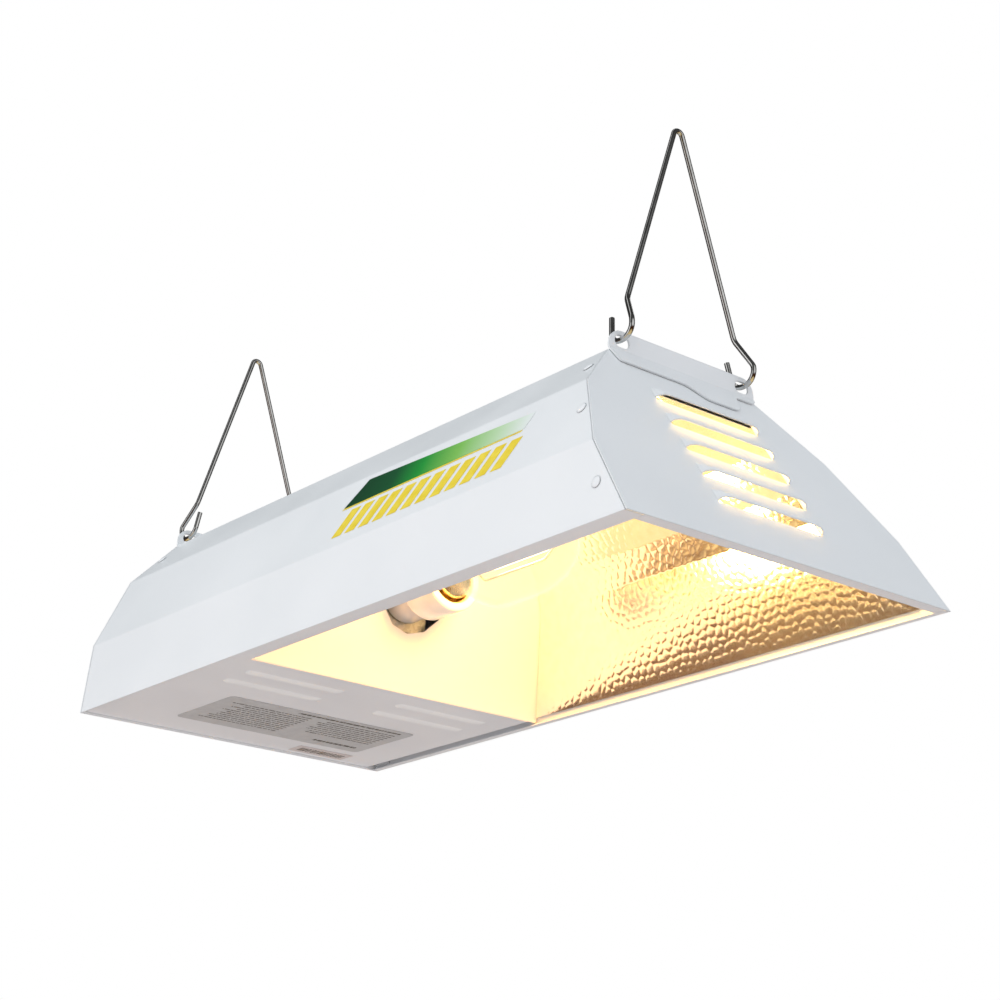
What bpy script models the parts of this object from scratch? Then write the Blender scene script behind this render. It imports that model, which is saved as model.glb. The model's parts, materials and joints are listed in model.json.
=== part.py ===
"""Hanging grow lamp: a folded white steel hood with a ballast compartment at one end, and at the other a
high-pressure sodium lamp under a faceted aluminium reflector. Two V-shaped wire hangers hook into the ends.

Metres, +Z up. The lamp stands on the rim of its open underside. X runs along the hood from the ballast end to
the lamp end. Everything is modelled about the middle of the hood's rim and parented to the empty "hood_centre",
which moves it so that the world origin is at the centre of the footprint, hangers included."""

import math

import bmesh
import bpy
from mathutils import Matrix, Vector

MM = 0.001
GAP = 0.3 * MM            # between pieces that touch on the real lamp
SEAM = 0.6 * MM           # the visible joint between the hood and its end panels
SHEET = 0.8 * MM          # folded steel
FOIL_GAP = 0.1 * MM       # under labels

# Hood: half of its folded section as (y, z), from the rim up to the edge of the flat top
HALF_LENGTH = 256.9 * MM
RIM = (120.0 * MM, 0.0)
LOWER_FOLD = (114.5 * MM, 46.0 * MM)
UPPER_FOLD = (90.7 * MM, 95.0 * MM)
TOP_EDGE = (56.1 * MM, 129.6 * MM)
TOP = TOP_EDGE[1]
UNDER_TOP = TOP - SHEET - GAP          # where flanges meet the underside of the hood's top
END_SLOPE = 0.6217                     # the lamp end leans in by this much per unit of height
NEAR_LIP = 12.0 * MM                   # the rim's inward lip on the front side
FAR_LIP = 4.0 * MM
FLANGE = 16.0 * MM                     # the end panels' flanges inside the hood
PANEL_THROUGH = SHEET * math.hypot(1.0, END_SLOPE)    # the sloping panel's thickness along X

# Louvres: length, depth from hinge to mouth, height
PANEL_LOUVRE_SIZE = (79.0 * MM, 10.0 * MM, 4.6 * MM)
PANEL_LOUVRE_TOP, PANEL_LOUVRE_PITCH, PANEL_LOUVRE_COUNT = 108.5 * MM, 17.6 * MM, 5
TRAY_LOUVRE_SIZE = (71.0 * MM, 7.0 * MM, 1.4 * MM)
TRAY_LOUVRE_ROWS = (-100.8 * MM, -124.8 * MM)
TRAY_LOUVRE_Y = 57.0 * MM

# Ballast tray: a louvred floor, folded up at its inner end into the divider behind the lamp
TRAY_FLOOR = 1.5 * MM                  # underside of the floor above the rim
TRAY_FOLD = -82.0 * MM
TRAY_FRONT = -RIM[0] + SHEET + GAP
TRAY_BACK = 110.4 * MM
TRAY_FLANGE = 12.0 * MM
DIVIDER_SLOPE = 0.38
DIVIDER_HOLE = 25.0 * MM

# Lamp and socket, turned about one axis along X; lengths along it count from the socket's mouth
AXIS_Z = 61.0 * MM
MOUTH_X = -23.0 * MM
SOCKET_LENGTH = 49.0 * MM
THREAD_PITCH = 3.63 * MM
BULB_RADIUS, NECK_RADIUS, GLASS = 27.0 * MM, 11.1 * MM, 0.9 * MM
BULB_NECK_END, BULB_SHOULDER, BULB_DOME, BULB_TIP = 2.0 * MM, 40.0 * MM, 62.0 * MM, 105.5 * MM

# Reflector: half section as (y, z), from its lower edge to the edge of its flat top
REFLECTOR = ((116.4 * MM, 4.8 * MM), (99.6 * MM, 67.4 * MM), (90.0 * MM, 84.5 * MM), (69.6 * MM, 104.9 * MM))
REFLECTOR_TOP = REFLECTOR[-1][1]
REFLECTOR_SHEET = 0.5 * MM
STRAP_X = 80.0 * MM

# Hangers and the flanges that they hook into
BRACKET_SHEET = 1.2 * MM
EAR_HEIGHT = 13.0 * MM                 # the flange above the top of the hood
SLOT_Y, SLOT_Z = 46.5 * MM, 136.3 * MM
SLOT_SIZE = (11.0 * MM, 7.0 * MM)
WIRE = 1.6 * MM                        # radius
WIRE_Y = 47.5 * MM
WIRE_Z = 137.2 * MM                    # the hinge line
HOOK_WIDTH, HOOK_RADIUS = 16.0 * MM, 7.8 * MM
LEG_OFFSET = 9.5 * MM                  # the legs come down outside the flange
APEX = 285.6 * MM - WIRE_Z             # the bent wire's highest point, and its bend radius
APEX_BEND = 3.5 * MM
KINK = (42.0 * MM, 27.0 * MM)          # the legs leave the upright triangle here
SHOULDER = 10.0 * MM
TIP_LEAN, TIP_RISE = 2.5 * MM, 17.0 * MM
LAMP_HINGE_X = HALF_LENGTH - END_SLOPE * TOP
BALLAST_HINGE_X = -HALF_LENGTH - GAP - BRACKET_SHEET / 2

# Ballast compartment
BALLAST = (-188.0 * MM, 0.0, 84.5 * MM)
CORE_SIZE = (76.0 * MM, 50.0 * MM, 62.0 * MM)
CORE_LEG, CORE_WINDOW = 22.0 * MM, (14.0 * MM, 36.0 * MM)
COIL_OVERHANG = 12.0 * MM
CAN_X, CAN_Z, CAN_RADIUS = -122.0 * MM, 100.0 * MM, 18.0 * MM
CAN_Y = (-8.0 * MM, 58.0 * MM)
INLET = (-HALF_LENGTH, 60.0 * MM, 30.0 * MM)
INLET_RADIUS = 8.0 * MM

# Small brackets and fasteners
FOOT = 1.0 * MM
SHANK = 1.5 * MM
HOLE = SHANK + GAP
UP = Vector((0.0, 0.0, 1.0))
BALLAST_FEET = 46.0 * MM

# The footprint runs from the ballast end's hanger to the rim of the lamp end
CENTRE_SHIFT = -(BALLAST_HINGE_X - LEG_OFFSET - WIRE + HALF_LENGTH) / 2

# Material slot: colour, roughness, metallic
FINISHES = {
    "white_paint": ((0.86, 0.88, 0.90), 0.42, 0.0),
    "reflector": ((0.90, 0.88, 0.84), 0.22, 1.0),
    "chrome_wire": ((0.72, 0.72, 0.73), 0.15, 1.0),
    "porcelain": ((0.90, 0.86, 0.80), 0.30, 0.0),
    "brass": ((0.80, 0.62, 0.32), 0.30, 1.0),
    "black_glass": ((0.03, 0.03, 0.035), 0.15, 0.0),
    "lamp_glass": ((0.95, 0.96, 0.97), 0.03, 0.0),
    "arc_tube": ((0.98, 0.80, 0.45), 0.40, 0.0),
    "core_steel": ((0.10, 0.10, 0.11), 0.55, 0.6),
    "copper_coil": ((0.62, 0.30, 0.14), 0.40, 0.6),
    "zinc_steel": ((0.62, 0.63, 0.65), 0.38, 1.0),
    "can_aluminium": ((0.70, 0.71, 0.72), 0.35, 1.0),
    "black_plastic": ((0.03, 0.03, 0.03), 0.45, 0.0),
    "terminal_nylon": ((0.85, 0.83, 0.76), 0.50, 0.0),
    "lead_black": ((0.02, 0.02, 0.02), 0.45, 0.0),
    "lead_white": ((0.85, 0.85, 0.83), 0.45, 0.0),
    "label_silver": ((0.62, 0.64, 0.65), 0.40, 0.2),
    "label_white": ((0.85, 0.84, 0.82), 0.50, 0.0),
    "decal_green": ((0.10, 0.42, 0.12), 0.40, 0.0),
}


# ---------------------------------------------------------------- scene and materials

def clear_scene():
    for obj in list(bpy.data.objects):
        bpy.data.objects.remove(obj, do_unlink=True)


def make_materials():
    made = {}
    for slot, (colour, roughness, metallic) in FINISHES.items():
        mat = bpy.data.materials.new(slot)
        mat.use_nodes = True
        shader = mat.node_tree.nodes["Principled BSDF"]
        shader.inputs["Base Color"].default_value = (*colour, 1.0)
        shader.inputs["Roughness"].default_value = roughness
        shader.inputs["Metallic"].default_value = metallic
        mat.diffuse_color = (*colour, 1.0)
        made[slot] = mat
    return made


def link(name, data, parent):
    obj = bpy.data.objects.new(name, data)
    obj.parent = parent
    bpy.context.collection.objects.link(obj)
    return obj


def make_empty(name, location, parent=None):
    empty = link(name, None, parent)
    empty.location = location
    return empty


def add_solid(name, slot, bm, smooth=False, parent=None):
    """Turns a closed bmesh into a node under the hood's empty, or under its own pivot."""
    bmesh.ops.recalc_face_normals(bm, faces=bm.faces)
    mesh = bpy.data.meshes.new(name)
    bm.to_mesh(mesh)
    bm.free()
    if smooth:
        mesh.shade_smooth()
        mesh.set_sharp_from_angle(angle=math.radians(35))
    mesh.materials.append(MATERIALS[slot])
    return link(name, mesh, parent or HOOD)


def combine(obj, tool, operation="DIFFERENCE"):
    """Applies one exact Boolean with the bmesh `tool` and throws the tool away."""
    helper = add_solid("tool", "zinc_steel", tool)
    helper.hide_render = True
    helper.display_type = "WIRE"
    step = obj.modifiers.new("step", "BOOLEAN")
    step.solver = "EXACT"
    step.operation = operation
    step.object = helper
    graph = bpy.context.evaluated_depsgraph_get()
    result = bpy.data.meshes.new_from_object(obj.evaluated_get(graph))
    result.name = obj.name
    result.materials.clear()
    result.materials.append(obj.data.materials[0])
    obj.modifiers.clear()
    obj.data = result
    bpy.data.objects.remove(helper, do_unlink=True)


# ---------------------------------------------------------------- shape helpers

def loft(bm, rings):
    """Joins rings of equal size with quads and caps the two ends."""
    made = [[bm.verts.new(p) for p in ring] for ring in rings]
    count = len(made[0])
    for low, high in zip(made, made[1:]):
        for i in range(count):
            j = (i + 1) % count
            bm.faces.new((low[i], low[j], high[j], high[i]))
    bm.faces.new(made[0])
    bm.faces.new(reversed(made[-1]))
    return bm


def box(low, high):
    (x0, y0, z0), (x1, y1, z1) = low, high
    return loft(bmesh.new(), [[(x, y0, z0), (x, y1, z0), (x, y1, z1), (x, y0, z1)] for x in (x0, x1)])


def frame(origin, u, v):
    """The matrix whose local x, y and z are u, v and their normal."""
    u, v = Vector(u).normalized(), Vector(v).normalized()
    turn = Matrix((u, v, u.cross(v))).transposed().to_4x4()
    return Matrix.Translation(Vector(origin)) @ turn


def facing(centre, normal):
    """A matrix at centre whose local x axis is the given normal."""
    normal = Vector(normal)
    across = Vector((0.0, 1.0, 0.0)) if abs(normal.y) < 0.9 else Vector((1.0, 0.0, 0.0))
    return frame(centre, normal, normal.cross(across))


def plate(outline, thickness, place, bm=None):
    """An outline of (u, v) points with a thickness along local z."""
    rings = [[place @ Vector((u, v, w)) for u, v in outline] for w in (0.0, thickness)]
    return loft(bm or bmesh.new(), rings)


def turned(profile, place, segments=24, closed=False, bm=None):
    """Turns (x, radius) points about the local x axis. A radius of 0 makes a pole; a closed profile a ring."""
    bm = bm or bmesh.new()
    rings = []
    for x, radius in profile:
        angles = [math.tau * i / segments for i in range(segments if radius else 1)]
        rings.append([bm.verts.new(place @ Vector((x, radius * math.cos(a), radius * math.sin(a))))
                      for a in angles])
    pairs = list(zip(rings, rings[1:]))
    if closed:
        pairs.append((rings[-1], rings[0]))
    for low, high in pairs:
        for i in range(segments):
            j = (i + 1) % segments
            corners = (low[i % len(low)], low[j % len(low)], high[j % len(high)], high[i % len(high)])
            bm.faces.new(list(dict.fromkeys(corners)))
    return bm


def offset(points, distance):
    """Shifts an open line of (a, b) points sideways, to its left, with mitred corners."""
    points = [Vector(p) for p in points]
    steps = [(b - a).normalized() for a, b in zip(points, points[1:])]
    shifted = []
    for point, before, after in zip(points, steps[:1] + steps, steps + steps[-1:]):
        left = Vector((-before.y, before.x))
        middle = (left + Vector((-after.y, after.x))).normalized()
        shifted.append(tuple(point + middle * distance / middle.dot(left)))
    return shifted


def rounded(points, radii, steps=4):
    """An open 3D line with an arc at each inner corner; a radius of 0 leaves the corner sharp."""
    points = [Vector(p) for p in points]
    line = [points[0]]
    for a, b, c, radius in zip(points, points[1:], points[2:], radii):
        into, out = (b - a).normalized(), (c - b).normalized()
        half_turn = into.angle(out) / 2
        reach = radius * math.tan(half_turn)
        if reach < 0.01 * MM:
            line.append(b)
            continue
        centre = b + (out - into).normalized() * radius / math.cos(half_turn)
        arms = [(end - centre).normalized() for end in (b - into * reach, b + out * reach)]
        line += [centre + arms[0].slerp(arms[1], k / steps) * radius for k in range(steps + 1)]
    return line + [points[-1]]


def rounded_outline(corners, radii, steps=5):
    """A closed (u, v) outline with each corner rounded by its own radius."""
    flat = [Vector((u, v, 0.0)) for u, v in corners]
    middle = (flat[0] + flat[-1]) / 2
    line = rounded([middle] + flat + [middle], radii, steps)
    return [(p.x, p.y) for p in line[1:]]


def bent_strip(line, thickness, y_low, y_high):
    """A strip bent along an (x, z) line, thickened to the line's right, between two values of y."""
    outline = list(line) + list(reversed(offset(line, -thickness)))
    return loft(bmesh.new(), [[(x, y, z) for x, z in outline] for y in (y_low, y_high)])


def tube(name, slot, points, radius, resolution=2, parent=None):
    """A wire or lead along the points, with closed ends."""
    curve = bpy.data.curves.new(name, "CURVE")
    curve.dimensions = "3D"
    curve.bevel_depth = radius
    curve.bevel_resolution = resolution
    curve.use_fill_caps = True
    spline = curve.splines.new("POLY")
    spline.points.add(len(points) - 1)
    for spot, point in zip(spline.points, points):
        spot.co = (*point, 1.0)
    curve.materials.append(MATERIALS[slot])
    return link(name, curve, parent or HOOD)


# ---------------------------------------------------------------- hood section

def full_section():
    """The hood's outer line from the front rim over the top to the back rim."""
    half = [RIM, LOWER_FOLD, UPPER_FOLD, TOP_EDGE]
    return [(-y, z) for y, z in half] + [(y, z) for y, z in reversed(half)]


def inner_section(depth, low_z):
    """The outer line moved inward by depth, with its two ends cut off level at low_z."""
    line = offset(full_section(), -depth)
    for end, following in ((0, 1), (-1, -2)):
        (y0, z0), (y1, z1) = line[end], line[following]
        line[end] = (y0 + (y1 - y0) * (low_z - z0) / (z1 - z0), low_z)
    return line


def lamp_face(z):
    """X of the sloping lamp end's outer face."""
    return HALF_LENGTH - END_SLOPE * z


def ballast_face(_z):
    """X of the upright ballast end's outer face."""
    return -HALF_LENGTH


def folded_sheet(line, thickness, x_low, x_high):
    """A sheet folded along a (y, z) line, thickened to the line's right, between two end surfaces."""
    rings = []
    for (y, z), (yi, zi) in zip(line, offset(line, -thickness)):
        rings.append([(x_low(z), y, z), (x_high(z), y, z), (x_high(zi), yi, zi), (x_low(zi), yi, zi)])
    return loft(bmesh.new(), rings)


# ---------------------------------------------------------------- rivets and screws

def on_side(x, z, low, high, side):
    """A spot on a hood face, on the front (side -1) or the back (side +1): its centre and outward normal."""
    run, rise = low[0] - high[0], high[1] - low[1]
    y = low[0] - run * (z - low[1]) / rise
    return Vector((x, side * y, z)), Vector((0.0, side * rise, run)).normalized()


def rivet_spots():
    spots = {}
    for name, side in (("front", -1), ("back", 1)):
        spots[f"rivet_{name}_lower"] = on_side(232.8 * MM, 20.9 * MM, RIM, LOWER_FOLD, side)
        spots[f"rivet_{name}_middle"] = on_side(204.7 * MM, 73.2 * MM, LOWER_FOLD, UPPER_FOLD, side)
        spots[f"rivet_{name}_chamfer"] = on_side(179.0 * MM, 112.5 * MM, UPPER_FOLD, TOP_EDGE, side)
        spots[f"rivet_{name}_ballast_end"] = on_side(-247.0 * MM, 112.5 * MM, UPPER_FOLD, TOP_EDGE, side)
    return spots


TOP_SCREWS = {
    "ballast_screw_front": (BALLAST[0], -BALLAST_FEET),
    "ballast_screw_back": (BALLAST[0], BALLAST_FEET),
    "socket_bracket_screw": (-90.0 * MM, 0.0),
    "divider_screw_front": (-42.0 * MM, -38.0 * MM),
    "divider_screw_back": (-42.0 * MM, 38.0 * MM),
    "reflector_screw": (STRAP_X - 16.0 * MM, 0.0),
    "capacitor_screw": (CAN_X - 26.0 * MM, 25.0 * MM),
    "ignitor_screw": (-147.0 * MM, -35.0 * MM),
}


def hole_tool(spots, radius=HOLE, reach=5.0 * MM):
    """Round holes through every (centre, normal) spot, as one tool."""
    bm = bmesh.new()
    for centre, normal in spots:
        profile = [(-reach, 0.0), (-reach, radius), (reach, radius), (reach, 0.0)]
        turned(profile, facing(centre, normal), segments=12, bm=bm)
    return bm


def top_holes(*names):
    return hole_tool([(Vector((*TOP_SCREWS[name], TOP)), UP) for name in names])


def make_rivet(name, centre, normal):
    """A blind rivet: a low domed head, and a shank through the hood and the flange behind it."""
    head = 3.2 * MM
    profile = [(-4.0 * MM, 0.0), (-4.0 * MM, SHANK), (GAP, SHANK), (GAP, head), (0.7 * MM, head * 0.93),
               (1.15 * MM, head * 0.6), (1.35 * MM, 0.0)]
    add_solid(name, "white_paint", turned(profile, facing(centre, normal), segments=14), smooth=True)


def make_screw(name, centre, normal, length=7.0 * MM):
    """A sheet-metal screw with a washer under a hexagon head."""
    washer, across, under = 4.2 * MM, 3.2 * MM, GAP + 0.8 * MM
    place = facing(centre, normal)
    profile = [(-length, 0.0), (1.5 * MM - length, SHANK), (GAP, SHANK), (GAP, washer), (under, washer),
               (under + 0.01 * MM, across * 0.8), (under + 0.01 * MM, 0.0)]
    screw = add_solid(name, "zinc_steel", turned(profile, place, segments=12))
    head = turned([(under - 0.2 * MM, 0.0), (under - 0.2 * MM, across), (3.6 * MM, across), (3.6 * MM, 0.0)],
                  place, segments=6)
    combine(screw, head, "UNION")


def make_fasteners():
    for name, (centre, normal) in rivet_spots().items():
        make_rivet(name, centre, normal)
    for name, spot in TOP_SCREWS.items():
        make_screw(name, Vector((*spot, TOP)), UP)
    for name, (centre, normal) in tray_screw_spots().items():
        make_screw(name, centre, normal)


# ---------------------------------------------------------------- hood and end panels

def make_hood_shell():
    """One sheet folded into the two sides, chamfers and top, with a lip along each rim."""
    line = [(-RIM[0] + NEAR_LIP, 0.0)] + full_section() + [(RIM[0] - FAR_LIP, 0.0)]
    hood = add_solid("hood_shell", "white_paint",
                     folded_sheet(line, SHEET, lambda z: ballast_face(z) + SHEET + SEAM,
                                  lambda z: lamp_face(z) - PANEL_THROUGH - SEAM))
    above = SHEET + 0.1 * MM
    no_lip = box((-HALF_LENGTH, TRAY_FRONT - GAP, -MM), (TRAY_FOLD + GAP, -RIM[0] + NEAR_LIP + MM, above))
    combine(hood, no_lip)
    combine(hood, hole_tool(rivet_spots().values()))
    combine(hood, top_holes(*TOP_SCREWS))


def end_panel(name, face, through, inward, low_z):
    """A flat panel to the hood's outline with a flange turned in along the hood's inside."""
    rings = [[(face(z) + shift, y, z) for y, z in full_section()] for shift in (0.0, through)]
    panel = add_solid(name, "white_paint", loft(bmesh.new(), rings))
    flange = folded_sheet(inner_section(SHEET + GAP, low_z), SHEET, lambda z: face(z) + through / 2,
                          lambda z: face(z) + through + inward * FLANGE)
    combine(panel, flange, "UNION")
    combine(panel, hole_tool(rivet_spots().values()))
    return panel


def on_lamp_end(z, lift=0.0):
    """A place on the lamp end's outer face: local x along -Y, y down the slope, z outward."""
    origin = Vector((lamp_face(z), 0.0, z))
    return frame(origin, (0.0, -1.0, 0.0), (END_SLOPE, 0.0, -1.0)) @ Matrix.Translation((0.0, 0.0, lift))


def make_end_panels():
    lamp_end = end_panel("end_panel_lamp_end", lamp_face, -PANEL_THROUGH, -1.0, SHEET + GAP)
    hem = box((HALF_LENGTH - 8.0 * MM, -RIM[0] + NEAR_LIP + GAP, 0.0),
              (HALF_LENGTH - PANEL_THROUGH / 2 - END_SLOPE * SHEET, RIM[0] - FAR_LIP - GAP, SHEET))
    combine(lamp_end, hem, "UNION")
    rows = [PANEL_LOUVRE_TOP - k * PANEL_LOUVRE_PITCH for k in range(PANEL_LOUVRE_COUNT)]
    press_louvres(lamp_end, [on_lamp_end(z) for z in rows], PANEL_LOUVRE_SIZE)

    above_tray = TRAY_FLOOR + SHEET + 2 * GAP
    ballast_end = end_panel("end_panel_ballast_end", ballast_face, SHEET, 1.0, above_tray)
    combine(ballast_end, hole_tool([(INLET, (-1.0, 0.0, 0.0))], radius=INLET_RADIUS + GAP))
    combine(ballast_end, hole_tool(tray_screw_spots().values()))


def louvre_ring(x, rise, size, inset, through):
    """One cross-section of a louvre: a quarter wave from the hinge up to the mouth, closed below the sheet.

    With an inset it is the space inside, which runs out through the mouth and through the sheet."""
    _length, depth, height = size
    crest = (height - inset) * rise
    floor = -through if inset else -SHEET / 2
    steps = 3
    waves = [k / steps for k in range(1, steps + 1)]
    ring = [(x, inset, floor)]
    ring += [(x, inset + (depth - inset) * k, crest * math.sin(math.pi / 2 * k)) for k in waves]
    mouth = depth + (through if inset else 0.0)
    if inset:
        ring.append((x, mouth, crest))
    ring.append((x, mouth, floor))
    return ring


def louvre(bm, place, size, inset=0.0, through=0.0):
    """A pressed louvre with rounded ends: local x along it, y from its hinge to its mouth, z outward."""
    half, end_run = size[0] / 2 - inset, size[1] * 0.8
    turns = [math.pi / 2 * k / 3 for k in range(4)]
    left = [(-half + end_run * (1.0 - math.cos(t)), max(math.sin(t), 0.1)) for t in turns]
    stations = left + [(-x, rise) for x, rise in reversed(left)]
    loft(bm, [[place @ Vector(p) for p in louvre_ring(x, rise, size, inset, through)]
              for x, rise in stations])


def press_louvres(panel, places, size):
    outer, inner = bmesh.new(), bmesh.new()
    for place in places:
        louvre(outer, place, size)
        louvre(inner, place, size, inset=SHEET * 0.9, through=1.5 * MM)
    combine(panel, outer, "UNION")
    combine(panel, inner)


def make_inlet_bushing():
    """The flanged bushing that the supply cord enters through."""
    bore, flange = 4.2 * MM, 11.0 * MM
    profile = [(-10.0 * MM, bore), (-10.0 * MM, INLET_RADIUS - MM), (-6.0 * MM, INLET_RADIUS),
               (GAP, INLET_RADIUS), (GAP, flange), (2.5 * MM, flange), (6.5 * MM, 6.5 * MM),
               (9.0 * MM, 6.0 * MM), (9.0 * MM, bore)]
    bushing = turned(profile, facing(INLET, (-1.0, 0.0, 0.0)), segments=20, closed=True)
    add_solid("cord_inlet_bushing", "black_plastic", bushing, smooth=True)


# ---------------------------------------------------------------- ballast tray

def divider_face(z):
    """X of the divider's lit face."""
    return TRAY_FOLD + DIVIDER_SLOPE * (z - TRAY_FLOOR)


def tray_screw_spots():
    """Two screws through the ballast end panel into the tray's end flange."""
    return {f"tray_screw_{name}": (Vector((-HALF_LENGTH, side * 70.0 * MM, 8.0 * MM)), Vector((-1.0, 0.0, 0.0)))
            for name, side in (("front", -1), ("back", 1))}


def divider_sheet():
    """The sloping divider, which fills the hood's inner outline down to the tray's floor."""
    line = inner_section(SHEET + 2 * GAP, TRAY_FLANGE + 4.0 * MM)
    bottom = TRAY_FLOOR + SHEET / 2
    outline = [(TRAY_FRONT + MM, bottom)] + line + [(-TRAY_FRONT - MM, bottom)]
    through = SHEET * math.hypot(1.0, DIVIDER_SLOPE)
    rings = [[(divider_face(z) + shift, y, z) for y, z in outline] for shift in (-through, 0.0)]
    return loft(bmesh.new(), rings)


def make_ballast_tray():
    """The compartment's louvred floor with upturned edges, and the divider folded up from its inner end."""
    end_x = -HALF_LENGTH + SHEET + GAP
    floor_top, flange_top = TRAY_FLOOR + SHEET, TRAY_FLOOR + TRAY_FLANGE
    tray = add_solid("ballast_tray", "white_paint",
                     box((end_x, TRAY_FRONT, TRAY_FLOOR), (TRAY_FOLD, TRAY_BACK, floor_top)))
    combine(tray, divider_sheet(), "UNION")
    combine(tray, box((end_x, -95.0 * MM, floor_top - SHEET / 2), (end_x + SHEET, 95.0 * MM, flange_top)), "UNION")
    lean = (RIM[0] - LOWER_FOLD[0]) / LOWER_FOLD[1]
    low = TRAY_FLOOR + SHEET / 2
    edges = ([(TRAY_FRONT + lean * z + 0.1 * MM, z) for z in (low, flange_top)],
             [(TRAY_BACK - 0.1 * MM, z) for z in (flange_top, low)])
    for line in edges:
        edge = folded_sheet(line, SHEET, lambda z: -HALF_LENGTH + FLANGE + 4.0 * MM,
                            lambda z: TRAY_FOLD - 2.0 * MM)
        combine(tray, edge, "UNION")
    top_flange = box((divider_face(TOP) - 16.0 * MM, -50.0 * MM, UNDER_TOP - SHEET),
                     (divider_face(UNDER_TOP) - SHEET / 2, 50.0 * MM, UNDER_TOP))
    combine(tray, top_flange, "UNION")
    combine(tray, top_holes("divider_screw_front", "divider_screw_back"))
    combine(tray, hole_tool(tray_screw_spots().values()))
    combine(tray, hole_tool([((divider_face(AXIS_Z), 0.0, AXIS_Z), (1.0, 0.0, 0.0))],
                            radius=DIVIDER_HOLE, reach=30.0 * MM))
    places = [frame((x, side * TRAY_LOUVRE_Y, TRAY_FLOOR), (0.0, -1.0, 0.0), (-1.0, 0.0, 0.0))
              for x in TRAY_LOUVRE_ROWS for side in (-1, 1)]
    press_louvres(tray, places, TRAY_LOUVRE_SIZE)


# ---------------------------------------------------------------- reflector

def make_reflector():
    """A faceted aluminium trough that ends along the divider and along the sloping end panel."""
    line = [(-y, z) for y, z in REFLECTOR] + [(y, z) for y, z in reversed(REFLECTOR)]
    bm = folded_sheet(line, REFLECTOR_SHEET, lambda z: divider_face(z) + 2 * GAP,
                      lambda z: lamp_face(z) - PANEL_THROUGH - MM)
    reflector = add_solid("reflector", "reflector", bm)
    rivet_spot = [(Vector((STRAP_X, 0.0, REFLECTOR_TOP)), UP)]
    combine(reflector, hole_tool(rivet_spot))

    high, low, sheet, step = UNDER_TOP, REFLECTOR_TOP + GAP, 1.0 * MM, STRAP_X - 7.0 * MM
    line = [(STRAP_X - 22.0 * MM, high), (step, high), (step, low + sheet), (STRAP_X + 7.0 * MM, low + sheet)]
    strap = add_solid("reflector_strap", "zinc_steel", bent_strip(line, sheet, -10.0 * MM, 10.0 * MM))
    combine(strap, top_holes("reflector_screw"))
    combine(strap, hole_tool(rivet_spot))

    head = 3.0 * MM
    profile = [(-3.0 * MM, 0.0), (-3.0 * MM, SHANK), (GAP, SHANK), (GAP, head), (GAP + 0.8 * MM, head * 0.8),
               (GAP + 1.2 * MM, 0.0)]
    under = Vector((STRAP_X, 0.0, REFLECTOR_TOP - REFLECTOR_SHEET))
    rivet = turned(profile, facing(under, -UP), segments=12)
    add_solid("reflector_rivet", "can_aluminium", rivet, smooth=True)


# ---------------------------------------------------------------- hanger flanges and hangers

def ear_outline(base_z):
    """The punched flange in (y, z): straight sides, rounded top corners."""
    y, top = TOP_EDGE[0], TOP + EAR_HEIGHT
    return rounded_outline([(-y, base_z), (y, base_z), (y, top), (-y, top)], [0.0, 0.0, 9.0 * MM, 9.0 * MM])


def upright(x):
    """A place in the plane across the hood at x: local x along Y, y up, z along X."""
    return frame((x, 0.0, 0.0), (0.0, 1.0, 0.0), UP)


def slot_tool(x):
    """The two oblong hook holes of a flange."""
    bm = bmesh.new()
    radius, steps, reach = SLOT_SIZE[1] / 2, 8, 3.0 * MM
    run = SLOT_SIZE[0] / 2 - radius
    for side in (-1, 1):
        outline = []
        for end in (1, -1):
            turns = [math.pi * (k / steps - 0.5) for k in range(steps + 1)]
            outline += [(side * SLOT_Y + end * (run + radius * math.cos(t)), SLOT_Z + end * radius * math.sin(t))
                        for t in turns]
        plate(outline, 2 * reach, upright(x - reach), bm)
    return bm


def bracket_outline():
    """The lamp end's bracket seen along X: the flange, and under it a skirt with one deep rounded tab."""
    y, top, strip, tab = TOP_EDGE[0], TOP + EAR_HEIGHT, TOP - 8.0 * MM, TOP - 14.5 * MM
    corners = [(-y, TOP), (-y, top), (y, top), (y, TOP), (y - 3.0 * MM, TOP - 2.5 * MM),
               (39.0 * MM, TOP - 2.5 * MM), (36.0 * MM, tab), (10.0 * MM, tab), (-4.0 * MM, strip),
               (3.5 * MM - y, strip)]
    radii = [0.0, 9.0 * MM, 9.0 * MM, 0.0, 1.0 * MM, 2.0 * MM, 7.0 * MM, 9.0 * MM, 14.0 * MM, 2.0 * MM]
    return rounded_outline(corners, radii)


def make_hanger_brackets():
    """A punched flange standing above each end of the hood; the lamp end's has a skirt down the slope."""
    sheet, reach = BRACKET_SHEET, 15.0 * MM
    inner_x = LAMP_HINGE_X - sheet / 2
    bend = on_lamp_end(TOP, lift=GAP).translation
    foot = on_lamp_end(TOP, lift=GAP) @ Vector((0.0, 20.0 * MM, 0.0))
    bend_z = bend.z + (bend.x - inner_x) / END_SLOPE
    line = [(foot.x, foot.z), (inner_x, bend_z), (inner_x, TOP + EAR_HEIGHT + 2.0 * MM)]
    half = TOP_EDGE[0] + 2.0 * MM
    bracket = add_solid("hanger_bracket_lamp_end", "white_paint", bent_strip(line, sheet, -half, half))
    silhouette = plate(bracket_outline(), 2 * reach, upright(LAMP_HINGE_X - reach))
    combine(bracket, silhouette, "INTERSECT")
    combine(bracket, slot_tool(LAMP_HINGE_X))

    bracket = add_solid("hanger_bracket_ballast_end", "white_paint",
                        plate(ear_outline(TOP - 14.0 * MM), sheet, upright(BALLAST_HINGE_X - sheet / 2)))
    combine(bracket, slot_tool(BALLAST_HINGE_X))


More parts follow.
